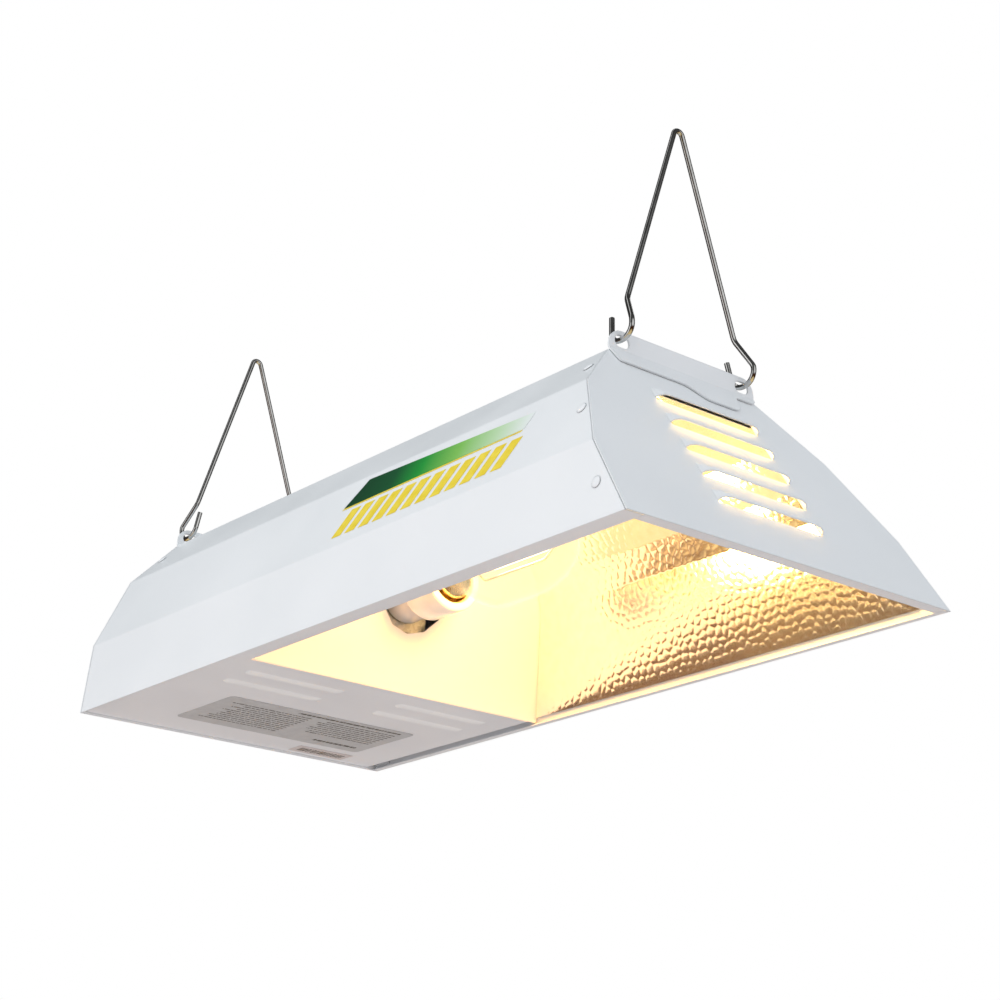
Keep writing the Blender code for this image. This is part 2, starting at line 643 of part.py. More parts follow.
def hanger_line(direction):
    """A hanger's centre line about its hinge, hook to hook; its legs are on the +X side for direction +1."""
    leg, tip = direction * LEG_OFFSET, direction * (LEG_OFFSET - HOOK_WIDTH)
    lean = math.atan2(KINK[0], APEX - KINK[1])
    corner = APEX + APEX_BEND * (1.0 / math.sin(lean) - 1.0)
    half = [(0.0, 0.0, corner), (0.0, *KINK), (leg, WIRE_Y, SHOULDER), (leg, WIRE_Y, 0.0),
            (tip, WIRE_Y, 0.0), (tip - direction * TIP_LEAN, WIRE_Y - TIP_LEAN, TIP_RISE)]
    radii = [10.0 * MM, 6.0 * MM, HOOK_RADIUS, HOOK_RADIUS]
    corners = [(x, -y, z) for x, y, z in reversed(half)] + half[1:]
    return rounded(corners, radii[::-1] + [APEX_BEND] + radii)


def make_hangers():
    """Each hanger is one bent wire on an empty at its hinge line."""
    for end_name, hinge_x, direction in (("lamp_end", LAMP_HINGE_X, 1), ("ballast_end", BALLAST_HINGE_X, -1)):
        pivot = make_empty(f"hanger_pivot_{end_name}", (hinge_x, 0.0, WIRE_Z), HOOD)
        tube(f"hanger_{end_name}", "chrome_wire", hanger_line(direction), WIRE, parent=pivot)


# ---------------------------------------------------------------- socket and lamp

def on_axis():
    """The lamp axis: local x is the distance out of the socket's mouth."""
    return Matrix.Translation((MOUTH_X, 0.0, AXIS_Z))


def in_mm(*points):
    return [(x * MM, radius * MM) for x, radius in points]


def make_socket():
    """The porcelain lampholder with its screw shell and centre contact, on a bracket from the hood's top."""
    body = in_mm((-32, 0), (-32, 15.2), (-1, 15.2), (0, 16), (0, 19.2), (-1.2, 20.5), (-26, 20.5), (-29, 17.5),
                 (-49, 17.5), (-49, 6), (-45, 6), (-45, 0))
    socket = add_solid("socket_body", "porcelain", turned(body, on_axis(), segments=28), smooth=True)
    back = MOUTH_X - SOCKET_LENGTH
    screw_spots = {f"socket_screw_{name}": Vector((back, 0.0, AXIS_Z + side * 11.0 * MM))
                   for name, side in (("lower", -1), ("upper", 1))}
    behind = Vector((-1.0, 0.0, 0.0))
    combine(socket, hole_tool([(spot, behind) for spot in screw_spots.values()], reach=8.0 * MM))

    shell = in_mm((-3, 14.9), (-30, 14.9), (-30, 7), (-29.5, 7), (-29.5, 14.5), (-3, 14.5))
    add_solid("socket_shell", "brass", turned(shell, on_axis(), segments=24, closed=True), smooth=True)
    contact = in_mm((-31.7, 0), (-31.7, 5), (-30.9, 5), (-29.3, 2), (-29.3, 0))
    add_solid("socket_contact", "brass", turned(contact, on_axis(), segments=12), smooth=True)

    sheet, foot_end = 1.2 * MM, -98.0 * MM
    line = [(foot_end, UNDER_TOP), (back - GAP, UNDER_TOP), (back - GAP, AXIS_Z - 23.0 * MM)]
    bracket = add_solid("socket_bracket", "zinc_steel", bent_strip(line, sheet, -17.0 * MM, 17.0 * MM))
    combine(bracket, top_holes("socket_bracket_screw"))
    spots = [(spot, behind) for spot in screw_spots.values()]
    combine(bracket, hole_tool(spots))
    combine(bracket, hole_tool([(Vector((back, 0.0, AXIS_Z)), behind)], radius=5.5 * MM))
    for name, spot in screw_spots.items():
        make_screw(name, spot + behind * (sheet + GAP), behind, length=8.0 * MM)


def bulb_radius(x):
    """The glass's outer radius: the neck, a smooth swell, a straight stretch and an elliptical dome."""
    if x >= BULB_DOME:
        return BULB_RADIUS * math.sqrt(max(0.0, 1.0 - ((x - BULB_DOME) / (BULB_TIP - BULB_DOME)) ** 2))
    share = min(1.0, max(0.0, (x - BULB_NECK_END) / (BULB_SHOULDER - BULB_NECK_END)))
    return NECK_RADIUS + (BULB_RADIUS - NECK_RADIUS) * share * share * (3.0 - 2.0 * share)


def bulb_profile(inset):
    """Points along the glass from the neck's rim to the pole, moved inward by the inset."""
    rim = -5.0 * MM
    swell = [BULB_NECK_END + (BULB_SHOULDER - BULB_NECK_END) * k / 6 for k in range(7)]
    dome = [BULB_DOME + (BULB_TIP - BULB_DOME) * math.sin(math.pi / 2 * k / 6) for k in range(6)]
    points = [(x, bulb_radius(x) - inset) for x in [rim] + swell + dome]
    return points + [(BULB_TIP - inset, 0.0)]


def thread_profile():
    """The screw base's outer line: rounded threads, then a plain collar."""
    line = []
    for k in range(5):
        crest = -20.2 * MM + k * THREAD_PITCH
        line += [(crest - THREAD_PITCH / 2, 12.1 * MM), (crest, 13.1 * MM)]
    return line + in_mm((-3, 12.1), (-2.4, 12.7), (1, 12.7))


def make_lamp():
    """The lamp in its own body: it leaves the socket along +X."""
    pivot = make_empty("lamp_axis", (MOUTH_X, 0.0, AXIS_Z), HOOD)
    own = Matrix.Identity(4)

    def lamp_piece(name, slot, profile, segments=20, closed=False):
        add_solid(name, slot, turned(profile, own, segments, closed), smooth=True, parent=pivot)

    glass = bulb_profile(0.0)[::-1] + bulb_profile(GLASS)
    lamp_piece("lamp_glass", "lamp_glass", glass, segments=22)
    lamp_piece("lamp_base_shell", "brass", thread_profile() + in_mm((1, 11.5), (-22.0, 11.5)), closed=True)
    lamp_piece("lamp_base_insulator", "black_glass", in_mm((-26.9, 0), (-26.9, 4.5), (-23.0, 10.8), (-22.4, 10.8),
                                                           (-22.4, 0)))
    lamp_piece("lamp_base_contact", "brass", in_mm((-29, 0), (-29, 2.5), (-28.2, 4.2), (-27.2, 4.2), (-27.2, 0)),
               segments=12)
    lamp_piece("lamp_stem", "lamp_glass", in_mm((-4.5, 0), (-4.5, 9), (-3, 9), (4, 4), (22, 3.2), (22, 0)),
               segments=14)
    lamp_piece("arc_tube", "arc_tube", in_mm((33, 0), (33, 1.2), (37, 1.2), (37, 3.8), (38, 4), (84, 4), (85, 3.8),
                                             (85, 1.2), (89.5, 1.2), (89.5, 0)), segments=12)
    frame_line = [(22.5, 0, -1.8), (30, 0, -9), (84, 0, -9), (92, 0, -4), (92, 0, -1.2)]
    bends = [4.0 * MM, 3.0 * MM, 3.0 * MM]
    points = rounded([Vector(p) * MM for p in frame_line], bends)
    tube("arc_frame", "zinc_steel", points, 0.8 * MM, resolution=1, parent=pivot)


# ---------------------------------------------------------------- ballast compartment

def block(centre, size):
    low = [c - s / 2 for c, s in zip(centre, size)]
    high = [c + s / 2 for c, s in zip(centre, size)]
    return box(low, high)


def make_ballast():
    """A core and coil hung from the hood's top by a hat-shaped bracket."""
    core = add_solid("ballast_core", "core_steel", block(BALLAST, CORE_SIZE))
    wide, tall = CORE_WINDOW
    for side in (-1, 1):
        centre = (BALLAST[0] + side * (CORE_LEG + wide) / 2, BALLAST[1], BALLAST[2])
        combine(core, block(centre, (wide, CORE_SIZE[1] + 2 * MM, tall)))
    play = 4 * GAP
    coil = add_solid("ballast_coil", "copper_coil",
                     block(BALLAST, (CORE_LEG + 2 * wide - play, CORE_SIZE[1] + 2 * COIL_OVERHANG, tall - play)))
    combine(coil, block(BALLAST, (CORE_LEG + play, CORE_SIZE[1] + play, tall + MM)))

    sheet, half = 1.2 * MM, 20.0 * MM
    low = BALLAST[2] + CORE_SIZE[2] / 2 + GAP + sheet
    line = [(-53.0 * MM, UNDER_TOP), (-39.0 * MM, UNDER_TOP), (-36.0 * MM, low), (36.0 * MM, low),
            (39.0 * MM, UNDER_TOP), (53.0 * MM, UNDER_TOP)]
    bracket = add_solid("ballast_bracket", "zinc_steel",
                        folded_sheet(line, sheet, lambda z: BALLAST[0] - half, lambda z: BALLAST[0] + half))
    combine(bracket, top_holes("ballast_screw_front", "ballast_screw_back"))


def make_capacitor():
    """A round can on its side, held up to the hood's top by a bent strap."""
    low, high = CAN_Y
    rim = 2.0 * MM
    profile = [(low, 0.0), (low, CAN_RADIUS - rim), (low + rim, CAN_RADIUS), (high - 3 * rim, CAN_RADIUS),
               (high - 2.5 * rim, CAN_RADIUS - 0.8 * MM), (high - 2 * rim, CAN_RADIUS), (high, CAN_RADIUS),
               (high, CAN_RADIUS - rim), (high - MM, CAN_RADIUS - rim), (high - MM, 5.0 * MM), (high + rim, 5.0 * MM),
               (high + rim, 0.0)]
    place = facing((CAN_X, 0.0, CAN_Z), (0.0, 1.0, 0.0))
    add_solid("capacitor", "can_aluminium", turned(profile, place, segments=24), smooth=True)

    reach = CAN_RADIUS + GAP
    under = [(CAN_X - reach * math.cos(math.pi * k / 12), CAN_Z - reach * math.sin(math.pi * k / 12))
             for k in range(13)]
    line = [(CAN_X - 33.0 * MM, UNDER_TOP), (CAN_X - reach, UNDER_TOP)] + under
    line.append((CAN_X + reach, CAN_Z + 8.0 * MM))
    strap = add_solid("capacitor_strap", "zinc_steel", bent_strip(line, FOOT, 19.0 * MM, 31.0 * MM))
    combine(strap, top_holes("capacitor_screw"))


def make_ignitor():
    """A potted ignitor with a mounting tab under the hood's top."""
    ignitor = add_solid("ignitor", "black_plastic",
                        box((-140.0 * MM, -54.0 * MM, 99.0 * MM), (-106.0 * MM, -16.0 * MM, UNDER_TOP)))
    tab = box((-153.0 * MM, -42.0 * MM, UNDER_TOP - 2.0 * MM), (-139.0 * MM, -28.0 * MM, UNDER_TOP))
    combine(ignitor, tab, "UNION")
    combine(ignitor, top_holes("ignitor_screw"))


def make_terminal_block():
    """A three-way connector strip on the inside of the ballast end."""
    back = -HALF_LENGTH + SHEET + GAP
    strip = add_solid("terminal_block", "terminal_nylon",
                      box((back, -16.0 * MM, 60.0 * MM), (back + 8.0 * MM, 16.0 * MM, 74.0 * MM)))
    for k in (-1, 0, 1):
        y = k * 10.5 * MM
        way = box((back + 7.0 * MM, y - 4.2 * MM, 61.5 * MM), (back + 15.0 * MM, y + 4.2 * MM, 72.5 * MM))
        combine(strip, way, "UNION")


LEADS = {
    "supply_lead": ("lead_black", ((-245.5, 60, 30), (-238, 60, 31), (-236, 40, 42), (-246, 10.5, 48),
                                   (-246.5, 10.5, 59.2))),
    "ballast_lead": ("lead_black", ((-240, 10.5, 67), (-234, 12, 67), (-229, 40, 74), (-200, 52, 84),
                                    (-188, 48, 85), (-188, 38, 85))),
    "capacitor_lead": ("lead_black", ((-178, 38, 92), (-178, 50, 94), (-150, 72, 100), (-124, 73, 100),
                                      (-122, 62, 100))),
    "ignitor_lead": ("lead_white", ((-180, -38, 85), (-180, -50, 88), (-156, -50, 98), (-148, -38, 108),
                                    (-141, -36, 110))),
    "socket_lead_live": ("lead_black", ((-70, 0, 63.5), (-82, 0, 63.5), (-96, -8, 80), (-98, -30, 104),
                                        (-105, -32, 108))),
    "socket_lead_neutral": ("lead_white", ((-70, 0, 58.5), (-82, 0, 58.5), (-100, -8, 42), (-170, -14, 34),
                                           (-226, -12, 40), (-236, -10.5, 60), (-240, -10.5, 67))),
}


def make_leads():
    """The compartment's internal wiring, each lead along its own bent route."""
    for name, (slot, route) in LEADS.items():
        points = [Vector(p) * MM for p in route]
        tube(name, slot, rounded(points, [4.0 * MM] * (len(points) - 2), steps=3), 1.1 * MM, resolution=1)


# ---------------------------------------------------------------- labels and decal

def foil(name, slot, outline, place):
    add_solid(name, slot, plate(outline, 0.15 * MM, place @ Matrix.Translation((0.0, 0.0, FOIL_GAP))))


def make_labels():
    under_tray = frame((0.0, 0.0, TRAY_FLOOR), (1.0, 0.0, 0.0), (0.0, -1.0, 0.0))
    rating = [(-225.6, 67.9), (-158.4, 67.9), (-158.4, -78.0), (-225.6, -78.0)]
    outline = rounded_outline([(x * MM, y * MM) for x, y in rating], [4.0 * MM] * 4)
    foil("rating_label", "label_silver", outline, under_tray)
    sticker = [(-250.8, -38.4), (-235.2, -38.4), (-235.2, -82.8), (-250.8, -82.8)]
    foil("small_sticker", "label_white", [(x * MM, y * MM) for x, y in sticker], under_tray)

    _spot, normal = on_side(0.0, LOWER_FOLD[1], LOWER_FOLD, UPPER_FOLD, -1)
    up_face = Vector((1.0, 0.0, 0.0)).cross(-normal)
    origin = (0.0, -LOWER_FOLD[0], LOWER_FOLD[1])
    on_face = frame(origin, (1.0, 0.0, 0.0), up_face if up_face.z > 0 else -up_face)
    decal = [(2.0, 5.0), (163.0, 5.0), (170.0, 29.0), (162.5, 45.5), (13.2, 52.0), (-1.5, 30.5)]
    foil("front_decal", "decal_green", [(u * MM, v * MM) for u, v in decal], on_face)


clear_scene()
MATERIALS = make_materials()
HOOD = make_empty("hood_centre", (CENTRE_SHIFT, 0.0, 0.0))

make_hood_shell()
make_end_panels()
make_ballast_tray()
make_reflector()
make_hanger_brackets()
make_hangers()
make_socket()
make_lamp()
make_ballast()
make_capacitor()
make_ignitor()
make_terminal_block()
make_inlet_bushing()
make_leads()
make_labels()
make_fasteners()
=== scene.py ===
"""The looks of the hanging grow lamp: finer round pieces, a hammered reflector, printed foils, materials,
a soft studio and the camera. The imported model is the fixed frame: places are read from its nodes and joints
where it has them, and the other sizes repeat the part's own."""

import itertools
import json
import math
import random

import bmesh
import bpy
import numpy as np
from mathutils import Matrix, Vector


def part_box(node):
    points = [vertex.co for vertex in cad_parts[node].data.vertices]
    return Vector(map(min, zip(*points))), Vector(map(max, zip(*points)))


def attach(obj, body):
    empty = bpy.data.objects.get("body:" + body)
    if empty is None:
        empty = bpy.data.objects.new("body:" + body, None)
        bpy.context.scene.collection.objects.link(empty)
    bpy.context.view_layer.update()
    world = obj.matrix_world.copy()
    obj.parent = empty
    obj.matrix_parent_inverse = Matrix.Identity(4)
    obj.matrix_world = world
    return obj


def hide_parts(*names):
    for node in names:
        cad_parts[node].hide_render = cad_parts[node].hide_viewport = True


MM = 0.001

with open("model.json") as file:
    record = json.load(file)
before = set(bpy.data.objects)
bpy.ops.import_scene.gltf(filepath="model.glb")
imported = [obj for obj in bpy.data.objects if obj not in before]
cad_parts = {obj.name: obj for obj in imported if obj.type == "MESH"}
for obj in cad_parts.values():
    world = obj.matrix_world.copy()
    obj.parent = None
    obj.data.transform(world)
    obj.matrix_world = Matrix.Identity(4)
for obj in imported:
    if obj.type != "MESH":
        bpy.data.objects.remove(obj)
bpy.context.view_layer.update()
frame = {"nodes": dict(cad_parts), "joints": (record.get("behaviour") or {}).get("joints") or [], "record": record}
NODES = frame["nodes"]

# Places read from the frame
RIM_LOW_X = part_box("end_panel_ballast_end")[0].x
RIM_HIGH_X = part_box("end_panel_lamp_end")[1].x
MIDDLE_X = (RIM_LOW_X + RIM_HIGH_X) / 2
HOOD_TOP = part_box("hood_shell")[1].z
MOUTH = Vector((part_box("socket_body")[1].x, 0.0, sum(c.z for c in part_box("socket_body")) / 2))
REFLECTOR_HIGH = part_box("reflector")[1]

# The hood's and the reflector's folds, as (half width, height)
RIM, LOWER_FOLD, UPPER_FOLD = (120.0 * MM, 0.0), (114.5 * MM, 46.0 * MM), (90.7 * MM, 95.0 * MM)
TOP_EDGE = (56.1 * MM, HOOD_TOP)
REFLECTOR = ((REFLECTOR_HIGH.y, 4.8 * MM), (99.6 * MM, 67.4 * MM), (90.0 * MM, 84.5 * MM),
             (69.6 * MM, REFLECTOR_HIGH.z))
END_SLOPE, DIVIDER_SLOPE = 0.6217, 0.38    # how far the slanted end and the divider lean in, per height
DIVIDER_FOOT_X = MIDDLE_X - 82.0 * MM
TRAY_FLOOR = 1.5 * MM

# Hammered aluminium; the jitter, the valley's width and the row spacing are shares of a cell
CELL, CELL_JITTER = 6.0 * MM, 0.32
CELL_HEIGHT, CELL_EDGE = 0.16 * MM, 0.36
ROW_SPACING = 0.866
DOME_SHARE = 0.25
HAMMER_FADE = 2.5 * MM                 # the pattern dies out this near the reflector's edges
GRID_STEP = 0.85 * MM
SHEET = 0.5 * MM
DIVIDER_GAP, PANEL_GAP = 0.6 * MM, 2.0 * MM

# Lamp, with lengths along its axis from the socket's mouth
BULB_RADIUS, NECK_RADIUS, GLASS = 27.0 * MM, 11.1 * MM, 0.9 * MM
NECK_END, SHOULDER, DOME, TIP = 2.0 * MM, 40.0 * MM, 62.0 * MM, 105.5 * MM
THREAD_PITCH = 3.63 * MM
ARC_MIDDLE = 61.0 * MM
THREAD_LENGTH, THREAD_RADIUS, THREAD_DEPTH = 22.0 * MM, 12.6 * MM, 0.5 * MM

# Wire hangers, about their hinge lines
WIRE, WIRE_Y = 1.6 * MM, 47.5 * MM
HOOK_WIDTH, HOOK_RADIUS, LEG_OFFSET = 16.0 * MM, 7.8 * MM, 9.5 * MM
WIRE_Z = 137.2 * MM
APEX, APEX_BEND = 285.6 * MM - WIRE_Z, 3.5 * MM
KINK = (42.0 * MM, 27.0 * MM)
WIRE_SHOULDER = 10.0 * MM
TIP_LEAN, TIP_RISE = 2.5 * MM, 17.0 * MM
KINK_RADIUS, SHOULDER_RADIUS = 10.0 * MM, 6.0 * MM

# Rivets: head radius, dome height, shank radius and length, and the rim that the dome stands on
RIVET_HEAD, RIVET_RISE, RIVET_SHANK, RIVET_LENGTH = 3.2 * MM, 1.3 * MM, 1.5 * MM, 4.0 * MM
RIVET_STAND, RIVET_RIM = 0.3 * MM, 0.35 * MM

# Print
PRINT = 0.03 * MM
FOIL = 0.10 * MM
DECAL_RISE = 0.012                     # the decal's lines climb this much along the hood

# Lights, and what reflections see below the horizon
LAMP_COLOUR, LAMP_POWER = (1.0, 0.43, 0.09), 2.3
PANEL_GLOW_COLOUR, PANEL_GLOW_POWER = (1.0, 0.66, 0.20), 0.6
SOFTBOX_PLACE, SOFTBOX_TARGET = (-0.3, -2.4, 0.1), (0.0, 0.0, 0.06)
SOFTBOX_POWER, SOFTBOX_SIZE = 8.0, 1.8
LAMP_LIGHT_RADIUS = 16.0 * MM
PANEL_GLOW_AHEAD, PANEL_GLOW_LIFT = 10.0 * MM, 6.0 * MM    # from the bulb's tip
PANEL_GLOW_HEIGHT, PANEL_GLOW_WIDTH = 50.0 * MM, 120.0 * MM
LIGHT_POOL, DARK_GROUND = (1.0, 0.78, 0.40), (0.07, 0.022, 0.006)
WORLD_STRENGTH = 1.22
FLOOR_Z, FLOOR_SIZE = -0.95, 6.0

# Sockets of a colour Mix node
MIX_A, MIX_B, MIX_RESULT = 6, 7, 2

# Camera, with the lens and the sensor in millimetres
CAMERA_PLACE = Vector((0.94299, -0.76695, -0.34664))
CAMERA_YAW, CAMERA_PITCH, CAMERA_ROLL = (math.radians(a) for a in (140.10, 20.49, 0.75))
CAMERA_LENS = 76.22
SENSOR_WIDTH, CLIP_START = 36.0, 0.01


# ---------------------------------------------------------------- node helpers

def new_material(name, colour, roughness, metallic=0.0, **sockets):
    mat = bpy.data.materials.new(name)
    mat.use_nodes = True
    shader = mat.node_tree.nodes["Principled BSDF"]
    shader.inputs["Base Color"].default_value = (*colour, 1.0)
    shader.inputs["Roughness"].default_value = roughness
    shader.inputs["Metallic"].default_value = metallic
    for socket, value in sockets.items():
        shader.inputs[socket.replace("_", " ")].default_value = value
    mat.diffuse_color = (*colour, 1.0)
    return mat


def add(tree, kind, inputs=None, **settings):
    """Adds a node; an input is a value, or another node's output to link."""
    node = tree.nodes.new(kind)
    for key, value in settings.items():
        setattr(node, key, value)
    for key, value in (inputs or {}).items():
        if isinstance(value, bpy.types.NodeSocket):
            tree.links.new(value, node.inputs[key])
        else:
            node.inputs[key].default_value = value
    return node


def place(tree, stretch=(1.0, 1.0, 1.0)):
    """Object coordinates, which are metres in the model's own frame, stretched along each axis."""
    coords = add(tree, "ShaderNodeTexCoord")
    return add(tree, "ShaderNodeMapping", {"Vector": coords.outputs["Object"], "Scale": stretch}).outputs[0]


def grain(tree, scale, detail=3.0, stretch=(1.0, 1.0, 1.0)):
    inputs = {"Vector": place(tree, stretch), "Scale": scale, "Detail": detail}
    return add(tree, "ShaderNodeTexNoise", inputs).outputs["Fac"]


def ramp(tree, fac, *stops):
    """A colour ramp through (position, (r, g, b)) stops."""
    node = add(tree, "ShaderNodeValToRGB", {"Fac": fac})
    elements = node.color_ramp.elements
    while len(elements) < len(stops):
        elements.new(0.5)
    for element, (position, colour) in zip(elements, stops):
        element.position = position
        element.color = (*colour, 1.0)
    return node.outputs["Color"]


def vary(mat, fac, low, high, rough=None):
    """Lets the grain move the colour between low and high, and the roughness over its own range."""
    tree = mat.node_tree
    shader = tree.nodes["Principled BSDF"]
    tree.links.new(ramp(tree, fac, (0.3, low), (0.7, high)), shader.inputs["Base Color"])
    if rough:
        spread = add(tree, "ShaderNodeMapRange", {"Value": fac, "From Min": 0.3, "From Max": 0.7,
                                                  "To Min": rough[0], "To Max": rough[1]})
        tree.links.new(spread.outputs[0], shader.inputs["Roughness"])
    return mat


def bump(mat, height, distance, strength=1.0, round_edges=0.0):
    """Raises the surface by a height field, over edges rounded by a small radius."""
    tree = mat.node_tree
    inputs = {"Height": height, "Distance": distance, "Strength": strength}
    if round_edges:
        inputs["Normal"] = add(tree, "ShaderNodeBevel", {"Radius": round_edges}, samples=4).outputs[0]
    node = add(tree, "ShaderNodeBump", inputs)
    tree.links.new(node.outputs[0], tree.nodes["Principled BSDF"].inputs["Normal"])
    return mat


def mixed(mat, fac, other):
    """Mixes the Principled shader with another shader; fac is the other's share."""
    tree = mat.node_tree
    mix = add(tree, "ShaderNodeMixShader", {"Fac": fac})
    tree.links.new(tree.nodes["Principled BSDF"].outputs[0], mix.inputs[1])
    tree.links.new(other, mix.inputs[2])
    tree.links.new(mix.outputs[0], tree.nodes["Material Output"].inputs["Surface"])
    return mat


# ---------------------------------------------------------------- materials

def powder_coat():
    """White powder coat: fine orange peel, faint cloudiness, and softened sheet edges."""
    mat = new_material("powder_coat_white", (0.84, 0.86, 0.88), 0.38, Coat_Weight=0.15, Coat_Roughness=0.25)
    tree = mat.node_tree
    vary(mat, grain(tree, 14.0), (0.835, 0.858, 0.872), (0.862, 0.880, 0.892), (0.34, 0.44))
    return bump(mat, grain(tree, 900.0, 2.0), 0.03 * MM, 0.35, round_edges=0.7 * MM)


def bright_metal(name, low, high, rough, stretch=(1.0, 1.0, 1.0), metallic=1.0):
    mat = new_material(name, high, rough[0], metallic)
    tree = mat.node_tree
    vary(mat, grain(tree, 160.0, 4.0, stretch), low, high, rough)
    return bump(mat, grain(tree, 1400.0, 2.0, stretch), 0.01 * MM, 0.3)


def zinc():
    """Zinc plate with its crystal spangle."""
    mat = new_material("zinc_plate", (0.62, 0.63, 0.65), 0.38, 1.0)
    tree = mat.node_tree
    cells = add(tree, "ShaderNodeTexVoronoi", {"Vector": place(tree), "Scale": 420.0})
    vary(mat, cells.outputs["Color"], (0.54, 0.55, 0.57), (0.68, 0.69, 0.71), (0.30, 0.46))
    return bump(mat, grain(tree, 900.0), 0.01 * MM, 0.3)


def lined(name, low, high, metallic, pitch, rough, direction="X"):
    """Fine parallel lines: windings and laminations."""
    mat = new_material(name, high, rough, metallic)
    tree = mat.node_tree
    waves = add(tree, "ShaderNodeTexWave", {"Vector": place(tree), "Scale": 0.31 / pitch, "Distortion": 0.3},
                bands_direction=direction)
    vary(mat, waves.outputs["Fac"], low, high)
    return bump(mat, waves.outputs["Fac"], 0.3 * MM, 0.8)


def plain_grain(name, low, high, rough, scale=300.0):
    mat = new_material(name, high, rough[0])
    tree = mat.node_tree
    vary(mat, grain(tree, scale), low, high, rough)
    return bump(mat, grain(tree, 2200.0, 2.0), 0.01 * MM, 0.4)


def glazed_porcelain():
    mat = new_material("glazed_porcelain", (0.88, 0.84, 0.79), 0.18, Coat_Weight=0.6, Coat_Roughness=0.08)
    tree = mat.node_tree
    vary(mat, grain(tree, 120.0), (0.85, 0.81, 0.76), (0.90, 0.87, 0.83), (0.14, 0.26))
    return bump(mat, grain(tree, 260.0, 2.0), 0.05 * MM, 0.3)


def turned_brass():
    mat = new_material("nickel_brass", (0.80, 0.64, 0.36), 0.26, 1.0)
    tree = mat.node_tree
    vary(mat, grain(tree, 500.0, 3.0, (4.0, 1.0, 1.0)), (0.70, 0.52, 0.26), (0.86, 0.70, 0.42), (0.20, 0.36))
    return bump(mat, grain(tree, 900.0), 0.01 * MM, 0.3)


def clear_glass():
    """Thin clear glass under a warm glowing haze, which fills the bulb and thins out along the neck."""
    mat = new_material("bulb_glass", (0.02, 0.015, 0.01), 0.04, Emission_Color=(1.0, 0.86, 0.50, 1.0),
                       Emission_Strength=1.05)
    tree = mat.node_tree
    clear = add(tree, "ShaderNodeBsdfTransparent")
    fresnel = add(tree, "ShaderNodeLayerWeight", {"Blend": 0.12}).outputs["Fresnel"]
    sheen = add(tree, "ShaderNodeMapRange", {"Value": fresnel, "To Max": 0.25}).outputs[0]
    coords = add(tree, "ShaderNodeTexCoord").outputs["Object"]
    along = add(tree, "ShaderNodeSeparateXYZ", {0: coords}).outputs["X"]
    swell = add(tree, "ShaderNodeMapRange", {"Value": along, "From Min": MOUTH.x + 6.0 * MM,
                                             "From Max": MOUTH.x + 36.0 * MM, "To Min": 0.04, "To Max": 0.24})
    cloud = add(tree, "ShaderNodeMapRange", {"Value": grain(tree, 60.0), "To Min": 0.75, "To Max": 1.0})
    haze = add(tree, "ShaderNodeMath", {0: swell.outputs[0], 1: cloud.outputs[0]}, operation="MULTIPLY")
    covered = add(tree, "ShaderNodeMath", {0: sheen, 1: haze.outputs[0]}, operation="MAXIMUM").outputs[0]
    seen = add(tree, "ShaderNodeMath", {0: 1.0, 1: covered}, operation="SUBTRACT").outputs[0]
    return mixed(mat, seen, clear.outputs[0])


def glowing_arc():
    mat = new_material("arc_tube_lit", (1.0, 0.85, 0.6), 0.4, Emission_Strength=9.0)
    tree = mat.node_tree
    hot = ramp(tree, grain(tree, 200.0), (0.3, (1.0, 0.72, 0.34)), (0.7, (1.0, 0.84, 0.52)))
    tree.links.new(hot, tree.nodes["Principled BSDF"].inputs["Emission Color"])
    return mat


def printed(name, low, high, roughness=0.42):
    mat = new_material(name, high, roughness)
    tree = mat.node_tree
    vary(mat, grain(tree, 220.0), low, high, (roughness * 0.85, roughness * 1.15))
    return bump(mat, grain(tree, 1500.0, 2.0), 0.005 * MM, 0.3)


def band_print(low_x, high_x):
    """The decal's green, which runs from deep to light and fades into the paint at its far end."""
    mat = new_material("decal_band", (0.1, 0.45, 0.1), 0.38)
    tree = mat.node_tree
    coords = add(tree, "ShaderNodeTexCoord").outputs["Object"]
    along = add(tree, "ShaderNodeSeparateXYZ", {0: coords}).outputs["X"]
    share = add(tree, "ShaderNodeMapRange", {"Value": along, "From Min": low_x, "From Max": high_x})
    green = ramp(tree, share.outputs[0], (0.0, (0.004, 0.055, 0.02)), (0.26, (0.006, 0.10, 0.03)),
                 (0.42, (0.01, 0.33, 0.04)), (0.62, (0.22, 0.56, 0.10)), (0.82, (0.52, 0.74, 0.44)),
                 (1.0, (0.83, 0.87, 0.87)))
    tree.links.new(green, tree.nodes["Principled BSDF"].inputs["Base Color"])
    return bump(mat, grain(tree, 1500.0, 2.0), 0.005 * MM, 0.3)


